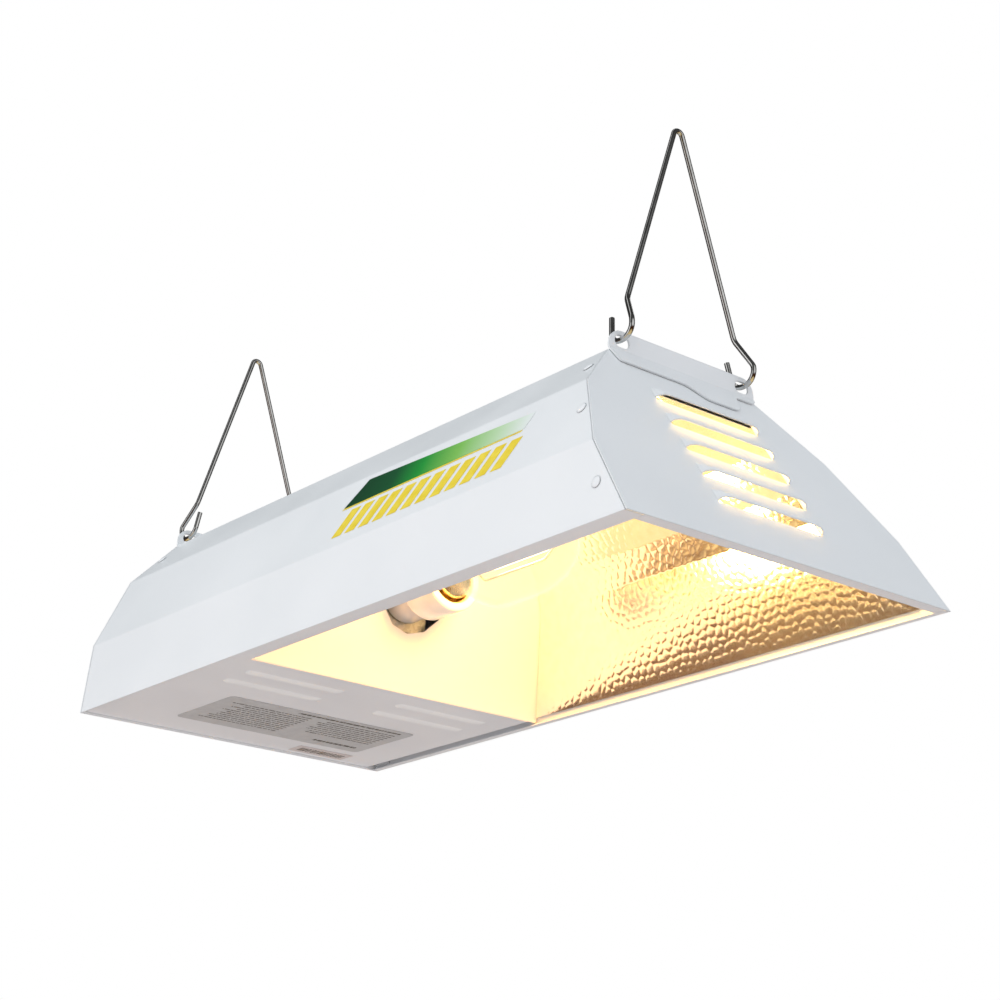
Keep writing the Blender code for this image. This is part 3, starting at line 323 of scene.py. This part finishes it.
def make_materials():
    return {
        "white_paint": powder_coat(),
        "reflector": bright_metal("hammered_aluminium", (0.94, 0.91, 0.82), (0.98, 0.96, 0.90),
                                  (0.10, 0.16), metallic=0.90),
        "chrome_wire": bright_metal("chrome_plate", (0.46, 0.46, 0.45), (0.62, 0.62, 0.61), (0.05, 0.12)),
        "can_aluminium": bright_metal("drawn_aluminium", (0.62, 0.63, 0.64), (0.74, 0.75, 0.76),
                                      (0.28, 0.42), (1.0, 8.0, 8.0)),
        "zinc_steel": zinc(),
        "porcelain": glazed_porcelain(),
        "brass": turned_brass(),
        "core_steel": lined("core_laminations", (0.05, 0.05, 0.055), (0.15, 0.15, 0.16), 0.5, 1.0 * MM, 0.5,
                            "Y"),
        "copper_coil": lined("varnished_winding", (0.32, 0.13, 0.05), (0.70, 0.36, 0.17), 0.6, 1.1 * MM, 0.32,
                             "Y"),
        "black_glass": plain_grain("base_glass_black", (0.02, 0.02, 0.025), (0.05, 0.05, 0.06), (0.10, 0.18)),
        "black_plastic": plain_grain("plastic_black", (0.022, 0.022, 0.024), (0.05, 0.05, 0.052),
                                     (0.40, 0.55)),
        "terminal_nylon": plain_grain("nylon_cream", (0.80, 0.77, 0.69), (0.88, 0.86, 0.79), (0.40, 0.55)),
        "lead_black": plain_grain("lead_black", (0.015, 0.015, 0.015), (0.04, 0.04, 0.04), (0.35, 0.50)),
        "lead_white": plain_grain("lead_white", (0.80, 0.80, 0.78), (0.88, 0.88, 0.86), (0.35, 0.50)),
        "lamp_glass": clear_glass(),
        "arc_tube": glowing_arc(),
        "label_silver": printed("label_foil", (0.49, 0.50, 0.51), (0.56, 0.575, 0.585)),
        "label_white": printed("label_paper", (0.62, 0.57, 0.56), (0.70, 0.65, 0.64)),
        # The decal's slot shows the bars' yellow; its green band has a material of its own
        "decal_green": printed("decal_yellow", (0.86, 0.66, 0.03), (0.93, 0.74, 0.06)),
    }


MATERIALS = make_materials()
INK = printed("label_ink", (0.06, 0.06, 0.065), (0.11, 0.11, 0.115), 0.55)


def dress_frame():
    """Every CAD node gets the material of its slot."""
    for part in frame["record"]["subparts"]:
        mesh = NODES[part["node"]].data
        mesh.materials.clear()
        mesh.materials.append(MATERIALS[part["material_slot"]])


# ---------------------------------------------------------------- shape helpers

def add_piece(name, slot, bm, body="hood", node=None, smooth=None, material=None):
    """Turns a closed bmesh into a piece that rides on a body, and stands for a CAD node if one is named."""
    bmesh.ops.recalc_face_normals(bm, faces=bm.faces)
    mesh = bpy.data.meshes.new(name)
    bm.to_mesh(mesh)
    bm.free()
    if smooth:
        mesh.shade_smooth()
        mesh.set_sharp_from_angle(angle=math.radians(smooth))
    mesh.materials.append(material or MATERIALS[slot])
    piece = bpy.data.objects.new(name, mesh)
    bpy.context.scene.collection.objects.link(piece)
    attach(piece, body)
    if node:
        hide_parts(node)
    return piece


def turned(profile, origin, axis=(1.0, 0.0, 0.0), segments=72, closed=False):
    """Turns (distance, radius) points about an axis. A radius of 0 makes a pole; a closed profile a ring."""
    bm = bmesh.new()
    axis = Vector(axis).normalized()
    across = axis.orthogonal().normalized()
    other = axis.cross(across)
    rings = []
    for x, radius in profile:
        centre = Vector(origin) + axis * x
        angles = [math.tau * i / segments for i in range(segments if radius > 0 else 1)]
        rings.append([bm.verts.new(centre + (across * math.cos(a) + other * math.sin(a)) * radius)
                      for a in angles])
    pairs = list(zip(rings, rings[1:]))
    if closed:
        pairs.append((rings[-1], rings[0]))
    for low, high in pairs:
        for i in range(segments):
            j = (i + 1) % segments
            corners = (low[i % len(low)], low[j % len(low)], high[j % len(high)], high[i % len(high)])
            bm.faces.new(list(dict.fromkeys(corners)))
    return bm


def slab(bm, outline, thickness, at):
    """Adds a closed slab: at(u, v, w) gives the place of a point of the outline at height w."""
    rings = [[bm.verts.new(at(u, v, w)) for u, v in outline] for w in (0.0, thickness)]
    bm.faces.new(rings[0])
    bm.faces.new(rings[1][::-1])
    for i in range(len(outline)):
        j = (i + 1) % len(outline)
        bm.faces.new((rings[0][i], rings[0][j], rings[1][j], rings[1][i]))


def rounded(points, radii, steps=14):
    """A 3D line with an arc at each inner corner."""
    points = [Vector(p) for p in points]
    line = [points[0]]
    for before, corner, after, radius in zip(points, points[1:], points[2:], radii):
        into, out = (corner - before).normalized(), (after - corner).normalized()
        half_turn = into.angle(out) / 2
        reach = radius * math.tan(half_turn)
        centre = corner + (out - into).normalized() * radius / math.cos(half_turn)
        arms = [(end - centre).normalized() for end in (corner - into * reach, corner + out * reach)]
        line += [centre + arms[0].slerp(arms[1], k / steps) * radius for k in range(steps + 1)]
    return line + [points[-1]]


# ---------------------------------------------------------------- reflector

def cell_centres(across_range, along_range):
    """Cell centres on a triangular lattice, each one moved a little at random."""
    rng = np.random.default_rng(11)
    rows = int((across_range[1] - across_range[0]) / (CELL * ROW_SPACING)) + 4
    columns = int((along_range[1] - along_range[0]) / CELL) + 4
    row, column = np.meshgrid(np.arange(rows), np.arange(columns), indexing="ij")
    spots = np.stack([across_range[0] + (row - 1.5) * CELL * ROW_SPACING,
                      along_range[0] + (column - 1.5 + 0.5 * (row % 2)) * CELL], axis=-1)
    return spots + rng.uniform(-CELL_JITTER, CELL_JITTER, spots.shape) * CELL


def hammered(across, along):
    """Height of the pattern at every point: low domed cells with narrow rounded valleys between them."""
    low, high = (across.min(), along.min()), (across.max(), along.max())
    centres = cell_centres((low[0], high[0]), (low[1], high[1]))
    row = np.rint((across - low[0]) / (CELL * ROW_SPACING) + 1.5).astype(int)
    column = np.rint((along - low[1]) / CELL + 1.5).astype(int)
    near = np.full(across.shape, np.inf)
    second = np.full(across.shape, np.inf)
    for i, k in itertools.product(range(-2, 3), repeat=2):
        spot = centres[np.clip(row + i, 0, centres.shape[0] - 1),
                       np.clip(column + k, 0, centres.shape[1] - 1)]
        gap = np.hypot(across - spot[..., 0], along - spot[..., 1]) / CELL
        second = np.minimum(second, np.maximum(near, gap))
        near = np.minimum(near, gap)
    edge = np.clip((second - near) / CELL_EDGE, 0.0, 1.0)
    plateau, dome = edge * edge * (3.0 - 2.0 * edge), 1.0 - near * near * 2.0
    return CELL_HEIGHT * (plateau * (1.0 - DOME_SHARE) + DOME_SHARE * dome)


def reflector_grid():
    """Points on the trough's inner face, as rows of y, z, distance along the section and outward normal,
    and the indices of the folds."""
    corners = [(-y, z) for y, z in REFLECTOR] + [(y, z) for y, z in reversed(REFLECTOR)]
    spots, folds, run = [], [0], 0.0
    for (y0, z0), (y1, z1) in zip(corners, corners[1:]):
        length = math.hypot(y1 - y0, z1 - z0)
        steps = round(length / GRID_STEP)
        normal = (-(z1 - z0) / length, (y1 - y0) / length)
        spots += [(y0 + (y1 - y0) * k / steps, z0 + (z1 - z0) * k / steps, run + length * k / steps, *normal)
                  for k in range(steps)]
        folds.append(len(spots))
        run += length
    spots.append((*corners[-1], run, *spots[-1][3:]))
    return np.array(spots), folds


def make_reflector():
    """The faceted trough: a hammered grid inside, and flat facets one sheet thickness outside it."""
    spots, folds = reflector_grid()
    y, z, run, normal_y, normal_z = (spots[:, i][:, None] for i in range(5))
    low_x = DIVIDER_FOOT_X + DIVIDER_SLOPE * (z - TRAY_FLOOR) + DIVIDER_GAP
    high_x = RIM_HIGH_X - END_SLOPE * z - PANEL_GAP
    columns = round(float((high_x - low_x).max()) / GRID_STEP)
    x = low_x + (high_x - low_x) * np.linspace(0.0, 1.0, columns + 1)[None, :]
    run = np.broadcast_to(run, x.shape)
    rim = np.minimum(np.minimum(run, run.max() - run), np.minimum(x - low_x, high_x - x))
    lift = hammered(run, x) * np.clip(rim / HAMMER_FADE, 0.0, 1.0)
    inner_y, inner_z = y - normal_y * lift, z - normal_z * lift
    outer_y, outer_z = y + normal_y * SHEET, z + normal_z * SHEET

    bm = bmesh.new()
    inner = [[bm.verts.new(point) for point in zip(*row)] for row in zip(x, inner_y, inner_z)]
    for near_row, far_row in zip(inner, inner[1:]):
        for k in range(columns):
            bm.faces.new((near_row[k], far_row[k], far_row[k + 1], near_row[k + 1]))
    outer = [[bm.verts.new((x[i, k], outer_y[i, 0], outer_z[i, 0])) for k in (0, columns)]
             for i in range(len(spots))]
    for low, high in zip(folds, folds[1:]):
        bm.faces.new([outer[i][0] for i in range(low, high + 1)]
                     + [outer[i][1] for i in range(high, low - 1, -1)])
    for i in range(len(spots) - 1):
        for end, k in ((0, 0), (1, columns)):
            bm.faces.new((outer[i][end], outer[i + 1][end], inner[i + 1][k], inner[i][k]))
    for i in (0, -1):
        bm.faces.new(inner[i] + [outer[i][1], outer[i][0]])
    add_piece("reflector_hammered", "reflector", bm, node="reflector", smooth=50)


# ---------------------------------------------------------------- lamp, socket and hangers

def bulb_radius(x):
    if x >= DOME:
        return BULB_RADIUS * math.sqrt(max(0.0, 1.0 - ((x - DOME) / (TIP - DOME)) ** 2))
    share = min(1.0, max(0.0, (x - NECK_END) / (SHOULDER - NECK_END)))
    return NECK_RADIUS + (BULB_RADIUS - NECK_RADIUS) * share * share * (3.0 - 2.0 * share)


def bulb_profile(inset):
    """The bulb from neck to tip, as (distance, radius) points set in from its outer face."""
    swell_steps, dome_steps = 20, 24
    swell = [NECK_END + (SHOULDER - NECK_END) * k / swell_steps for k in range(swell_steps + 1)]
    dome = [DOME + (TIP - DOME) * math.sin(math.pi / 2 * k / dome_steps) for k in range(dome_steps)]
    return [(x, bulb_radius(x) - inset) for x in [-5.0 * MM] + swell + dome] + [(TIP - inset, 0.0)]


def thread_profile():
    """The screw base's rolled thread, as a smooth wave, and its collar."""
    start, turns, steps = -THREAD_LENGTH, 5, 10
    wave = [(start + THREAD_PITCH * k / steps, THREAD_RADIUS - THREAD_DEPTH * math.cos(math.tau * k / steps))
            for k in range(turns * steps + 1)]
    collar = [(-3.2 * MM, 12.2 * MM), (-2.4 * MM, 12.7 * MM), (1.0 * MM, 12.7 * MM)]
    return wave + collar + [(1.0 * MM, 11.5 * MM), (start, 11.5 * MM)]


def make_lamp():
    glass = bulb_profile(0.0)[::-1] + bulb_profile(GLASS)
    add_piece("bulb_glass_fine", "lamp_glass", turned(glass, MOUTH), "lamp", "lamp_glass", smooth=40)
    add_piece("screw_base_fine", "brass", turned(thread_profile(), MOUTH, closed=True), "lamp",
              "lamp_base_shell", smooth=40)
    tube = [(33, 0), (33, 1.2), (37, 1.2), (37, 3.6), (37.6, 4), (84.4, 4), (85, 3.6), (85, 1.2), (89.5, 1.2),
            (89.5, 0)]
    add_piece("arc_tube_fine", "arc_tube", turned([(x * MM, r * MM) for x, r in tube], MOUTH, segments=40),
              "lamp", "arc_tube", smooth=40)


def make_socket():
    """The porcelain body with softened edges."""
    body = [(-32, 0), (-32, 15.2), (-1, 15.2), (-0.3, 15.5), (0, 16), (0, 19.2), (-0.35, 20.0), (-1.2, 20.5),
            (-26, 20.5), (-27, 20.2), (-28.6, 17.9), (-29.5, 17.5), (-48.6, 17.5), (-49, 17), (-49, 6),
            (-45, 6), (-45, 0)]
    add_piece("socket_porcelain", "porcelain", turned([(x * MM, r * MM) for x, r in body], MOUTH),
              node="socket_body", smooth=40)


def hanger_line(hinge_x, direction):
    """A hanger's centre line, hook to hook; its legs stand on the +X side of the hinge for direction +1."""
    leg, tip = direction * LEG_OFFSET, direction * (LEG_OFFSET - HOOK_WIDTH)
    lean = math.atan2(KINK[0], APEX - KINK[1])
    peak = APEX + APEX_BEND * (1.0 / math.sin(lean) - 1.0)    # where the legs would meet without the bend
    half = [(0.0, 0.0, peak), (0.0, *KINK), (leg, WIRE_Y, WIRE_SHOULDER), (leg, WIRE_Y, 0.0),
            (tip, WIRE_Y, 0.0), (tip - direction * TIP_LEAN, WIRE_Y - TIP_LEAN, TIP_RISE)]
    radii = [KINK_RADIUS, SHOULDER_RADIUS, HOOK_RADIUS, HOOK_RADIUS]
    corners = [(x, -y, z) for x, y, z in reversed(half)] + half[1:]
    line = rounded(corners, radii[::-1] + [APEX_BEND] + radii)
    return [point + Vector((hinge_x, 0.0, WIRE_Z)) for point in line]


def wire(line, radius, segments=20):
    """A closed tube along a line, its rings turned as little as possible from one to the next."""
    bm = bmesh.new()
    rings, side = [], None
    for i, point in enumerate(line):
        ahead = (line[min(i + 1, len(line) - 1)] - line[max(i - 1, 0)]).normalized()
        side = ahead.orthogonal() if side is None else side - ahead * side.dot(ahead)
        side.normalize()
        other = ahead.cross(side)
        rings.append([bm.verts.new(point + (side * math.cos(a) + other * math.sin(a)) * radius)
                      for a in (math.tau * k / segments for k in range(segments))])
    for low, high in zip(rings, rings[1:]):
        for i in range(segments):
            j = (i + 1) % segments
            bm.faces.new((low[i], low[j], high[j], high[i]))
    bm.faces.new(rings[0])
    bm.faces.new(rings[-1])
    return bm


def make_hangers():
    for end, direction in (("lamp_end", 1), ("ballast_end", -1)):
        joint = next(j for j in frame["joints"] if j["name"] == f"hanger_{end}_swing")
        line = hanger_line(joint["pos_m"][0], direction)
        add_piece(f"hanger_wire_{end}", "chrome_wire", wire(line, WIRE), f"hanger_{end}_body",
                  f"hanger_{end}", smooth=50)


# ---------------------------------------------------------------- rivets, labels and decal

def rivet_height(high, normal):
    """Height of the rivet's centre on the hood's face, from its CAD box, whose top its head reaches."""
    across = RIVET_HEAD * abs(normal.y)
    return high.z - across - RIVET_STAND * normal.z


def make_rivets():
    """Low domed heads, each standing for a CAD rivet and placed on its axis."""
    steps = 8
    dome = [(RIVET_RISE * math.cos(math.pi / 2 * k / steps), RIVET_HEAD * math.sin(math.pi / 2 * k / steps))
            for k in range(steps)]
    profile = dome + [(RIVET_RIM, RIVET_HEAD), (RIVET_STAND, RIVET_HEAD), (RIVET_STAND, RIVET_SHANK),
                      (-RIVET_LENGTH, RIVET_SHANK), (-RIVET_LENGTH, 0.0)]
    for side_name, side in (("front", -1), ("back", 1)):
        for spot in ("lower", "middle", "chamfer", "ballast_end"):
            node = f"rivet_{side_name}_{spot}"
            low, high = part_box(node)
            (y0, z0), (y1, z1) = {"lower": (RIM, LOWER_FOLD), "middle": (LOWER_FOLD, UPPER_FOLD)}.get(
                spot, (UPPER_FOLD, TOP_EDGE))
            normal = Vector((0.0, side * (z1 - z0), y0 - y1)).normalized()
            height = rivet_height(high, normal)
            surface_y = side * (y0 + (y1 - y0) * (height - z0) / (z1 - z0))
            head = turned(profile, Vector(((low.x + high.x) / 2, surface_y, height)), normal, 40)
            add_piece(f"{node}_dome", "white_paint", head, node=node, smooth=45)


def text_like(rng, left, right, height, bm, v, at):
    """One line of print: dashes of uneven length."""
    u = left
    while u < right:
        length = min(rng.uniform(1.2, 5.5) * MM, right - u)
        slab(bm, [(u, v), (u + length, v), (u + length, v + height), (u, v + height)], PRINT, at)
        u += length + rng.uniform(0.5, 1.0) * MM


def under_tray(low, high):
    """Places print just below a label under the tray: u and v count from its corner, w downward."""
    lift = 0.01 * MM
    return lambda u, v, w: Vector((high.x - v, high.y - u, low.z - lift - w))


def make_label_print():
    """Plain ruled lines and blocks on the rating label, in two columns, and upright bars on the sticker."""
    rng = random.Random(7)
    low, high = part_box("rating_label")
    wide, deep = high.y - low.y, high.x - low.x
    at = under_tray(low, high)
    bm = bmesh.new()
    margin, rows, pitch, small = 8.0 * MM, 11, 4.2 * MM, 1.3 * MM
    text_like(rng, margin, wide * 0.62, 2.4 * MM, bm, 5.0 * MM, at)
    for row in range(rows):
        v = 12.0 * MM + row * pitch
        if row < rows - 3:
            text_like(rng, margin, wide * rng.uniform(0.40, 0.47), small, bm, v, at)
        text_like(rng, wide * 0.52, wide * rng.uniform(0.80, 0.94), small, bm, v, at)
    text_like(rng, margin, wide * 0.3, 3.2 * MM, bm, deep - 12.0 * MM, at)
    add_piece("rating_label_print", "label_silver", bm, material=INK)

    low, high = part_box("small_sticker")
    at = under_tray(low, high)
    bm = bmesh.new()
    foot, top = 4.0 * MM, 12.0 * MM
    u = 4.0 * MM
    while u < high.y - low.y - 5.0 * MM:
        bar = rng.choice((0.5, 0.9, 1.4)) * MM
        slab(bm, [(u, foot), (u + bar, foot), (u + bar, top), (u, top)], PRINT, at)
        u += bar + rng.choice((0.6, 1.1)) * MM
    add_piece("small_sticker_bars", "label_white", bm, material=INK)


def make_decal():
    """A fading green band over a yellow rule and a row of slanted bars of plain, even shape."""
    rise = Vector((0.0, LOWER_FOLD[0] - UPPER_FOLD[0], UPPER_FOLD[1] - LOWER_FOLD[1])).normalized()
    out = Vector((0.0, -rise.z, rise.y))
    origin = Vector((MIDDLE_X, -LOWER_FOLD[0], LOWER_FOLD[1])) + out * 0.1 * MM

    def at(u, v, w):
        return origin + Vector((u, 0.0, 0.0)) + rise * v + out * w

    band_foot, band_end, right = 32.0 * MM, 158.0 * MM, 162.0 * MM
    bm = bmesh.new()
    slab(bm, [(0.0, band_foot), (band_end, band_foot + band_end * DECAL_RISE), (right, 45.0 * MM),
              (13.2 * MM, 50.5 * MM)], FOIL, at)
    add_piece("decal_band_green", "decal_green", bm, node="front_decal",
              material=band_print(MIDDLE_X, MIDDLE_X + right))

    rule_foot, rule_top, rule_end = 30.6 * MM, 31.7 * MM, 156.0 * MM
    climb = rule_end * DECAL_RISE
    bm = bmesh.new()
    slab(bm, [(-0.8 * MM, rule_foot), (rule_end, rule_foot + climb), (rule_end + MM, rule_top + climb),
              (0.0, rule_top)], FOIL, at)
    bars, lean, width, pitch = 12, 7.5 * MM, 8.8 * MM, 12.8 * MM
    foot, top = 8.0 * MM, 28.0 * MM
    for k in range(bars):
        u = 3.0 * MM + k * pitch
        slab(bm, [(u, foot), (u + width, foot), (u + width + lean, top), (u + lean, top)], FOIL, at)
    add_piece("decal_bars_yellow", "decal_green", bm)


# ---------------------------------------------------------------- studio

def make_camera():
    forward = Vector((math.cos(CAMERA_YAW) * math.cos(CAMERA_PITCH),
                      math.sin(CAMERA_YAW) * math.cos(CAMERA_PITCH), math.sin(CAMERA_PITCH)))
    right = Vector((math.sin(CAMERA_YAW), -math.cos(CAMERA_YAW), 0.0))
    up = right.cross(forward)
    cosine, sine = math.cos(CAMERA_ROLL), math.sin(CAMERA_ROLL)
    right, up = right * cosine + up * sine, up * cosine - right * sine
    camera = bpy.data.objects.new("camera", bpy.data.cameras.new("camera"))
    camera.data.sensor_width = SENSOR_WIDTH
    camera.data.lens = CAMERA_LENS
    camera.data.clip_start = CLIP_START
    turn = Matrix((right, up, -forward)).transposed().to_4x4()
    camera.matrix_world = Matrix.Translation(CAMERA_PLACE) @ turn
    bpy.context.scene.collection.objects.link(camera)
    bpy.context.scene.camera = camera


def make_world():
    """A white backdrop. The soft light is brightest on the decorated side. Reflections see a dark studio with
    white cards, over dark ground with the lamp's pool of light straight below."""
    world = bpy.data.worlds.new("studio")
    world.use_nodes = True
    tree = world.node_tree
    tree.nodes.clear()
    way = add(tree, "ShaderNodeTexCoord").outputs["Generated"]
    parts = add(tree, "ShaderNodeSeparateXYZ", {0: way})
    front = add(tree, "ShaderNodeMapRange", {"Value": parts.outputs["Y"], "From Min": 1.0, "From Max": -1.0})
    height = add(tree, "ShaderNodeMapRange", {"Value": parts.outputs["Z"], "From Min": -1.0, "From Max": 1.0})
    sides = ramp(tree, front.outputs[0], (0.0, (0.66, 0.67, 0.69)), (0.5, (0.80, 0.83, 0.87)),
                 (1.0, (1.0, 1.0, 1.0)))
    levels = ramp(tree, height.outputs[0], (0.0, (0.80, 0.70, 0.69)), (0.5, (1.0, 1.0, 1.0)),
                  (1.0, (0.74, 0.78, 0.80)))
    light = add(tree, "ShaderNodeMix", {0: 1.0, MIX_A: sides, MIX_B: levels}, data_type="RGBA",
                blend_type="MULTIPLY")
    lit = add(tree, "ShaderNodeBackground", {"Color": light.outputs[MIX_RESULT], "Strength": WORLD_STRENGTH})

    aside = add(tree, "ShaderNodeMapRange", {"Value": parts.outputs["X"], "From Min": -1.0, "From Max": 1.0})
    cards = ramp(tree, aside.outputs[0], (0.0, (0.04, 0.04, 0.04)), (0.32, (0.04, 0.04, 0.04)),
                 (0.36, (1.0, 1.0, 1.0)), (0.42, (0.9, 0.9, 0.9)), (0.46, (0.04, 0.04, 0.04)),
                 (0.86, (0.08, 0.08, 0.08)), (0.94, (0.95, 0.95, 0.95)))
    above = add(tree, "ShaderNodeMapRange", {"Value": height.outputs[0], "From Min": 0.42, "From Max": 0.52})
    below = ramp(tree, height.outputs[0], (0.22, LIGHT_POOL), (0.31, DARK_GROUND))
    seen = add(tree, "ShaderNodeMix", {0: above.outputs[0], MIX_A: below, MIX_B: cards}, data_type="RGBA")
    dark = add(tree, "ShaderNodeBackground", {"Color": seen.outputs[MIX_RESULT], "Strength": 1.0})
    white = add(tree, "ShaderNodeBackground", {"Color": (1.0, 1.0, 1.0, 1.0), "Strength": 1.0})

    ray = add(tree, "ShaderNodeLightPath")
    unseen = add(tree, "ShaderNodeMixShader", {"Fac": ray.outputs["Is Glossy Ray"], 1: lit.outputs[0],
                                               2: dark.outputs[0]})
    mix = add(tree, "ShaderNodeMixShader", {"Fac": ray.outputs["Is Camera Ray"], 1: unseen.outputs[0],
                                            2: white.outputs[0]})
    add(tree, "ShaderNodeOutputWorld", {"Surface": mix.outputs[0]})
    bpy.context.scene.world = world
    bpy.context.scene.view_settings.view_transform = "Standard"


def add_light(name, kind, power, location):
    light = bpy.data.lights.new(name, kind)
    light.energy = power
    holder = bpy.data.objects.new(name, light)
    holder.location = location
    bpy.context.scene.collection.objects.link(holder)
    return holder


def make_lights():
    """The lamp's own warm light, which moves with it, the reflector's light thrown at the louvres, and one
    large softbox on the decorated side."""
    lamp = add_light("lamp_light", "POINT", LAMP_POWER, MOUTH + Vector((ARC_MIDDLE, 0.0, 0.0)))
    lamp.data.color = LAMP_COLOUR
    lamp.data.shadow_soft_size = LAMP_LIGHT_RADIUS
    lamp.visible_camera = False
    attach(lamp, "lamp")

    ahead = Vector((TIP + PANEL_GLOW_AHEAD, 0.0, PANEL_GLOW_LIFT))
    glow = add_light("panel_glow", "AREA", PANEL_GLOW_POWER, MOUTH + ahead)
    glow.data.color = PANEL_GLOW_COLOUR
    glow.data.shape = "RECTANGLE"
    glow.data.size, glow.data.size_y = PANEL_GLOW_HEIGHT, PANEL_GLOW_WIDTH
    glow.rotation_euler = (0.0, -math.pi / 2, 0.0)
    glow.visible_camera = False

    box = add_light("softbox", "AREA", SOFTBOX_POWER, SOFTBOX_PLACE)
    box.data.size = SOFTBOX_SIZE
    box.rotation_euler = (Vector(SOFTBOX_TARGET) - box.location).to_track_quat("-Z", "Y").to_euler()


def make_floor():
    bm = bmesh.new()
    bmesh.ops.create_grid(bm, x_segments=1, y_segments=1, size=FLOOR_SIZE)
    mesh = bpy.data.meshes.new("floor")
    bm.to_mesh(mesh)
    bm.free()
    pale = plain_grain("floor_pale", (0.80, 0.72, 0.71), (0.84, 0.76, 0.75), (0.7, 0.8), 3.0)
    mesh.materials.append(pale)
    floor = bpy.data.objects.new("floor", mesh)
    floor.location.z = FLOOR_Z
    floor.visible_glossy = False
    bpy.context.scene.collection.objects.link(floor)


make_camera()
make_world()
make_lights()
make_floor()
dress_frame()
make_reflector()
make_lamp()
make_socket()
make_hangers()
make_rivets()
make_label_print()
make_decal()
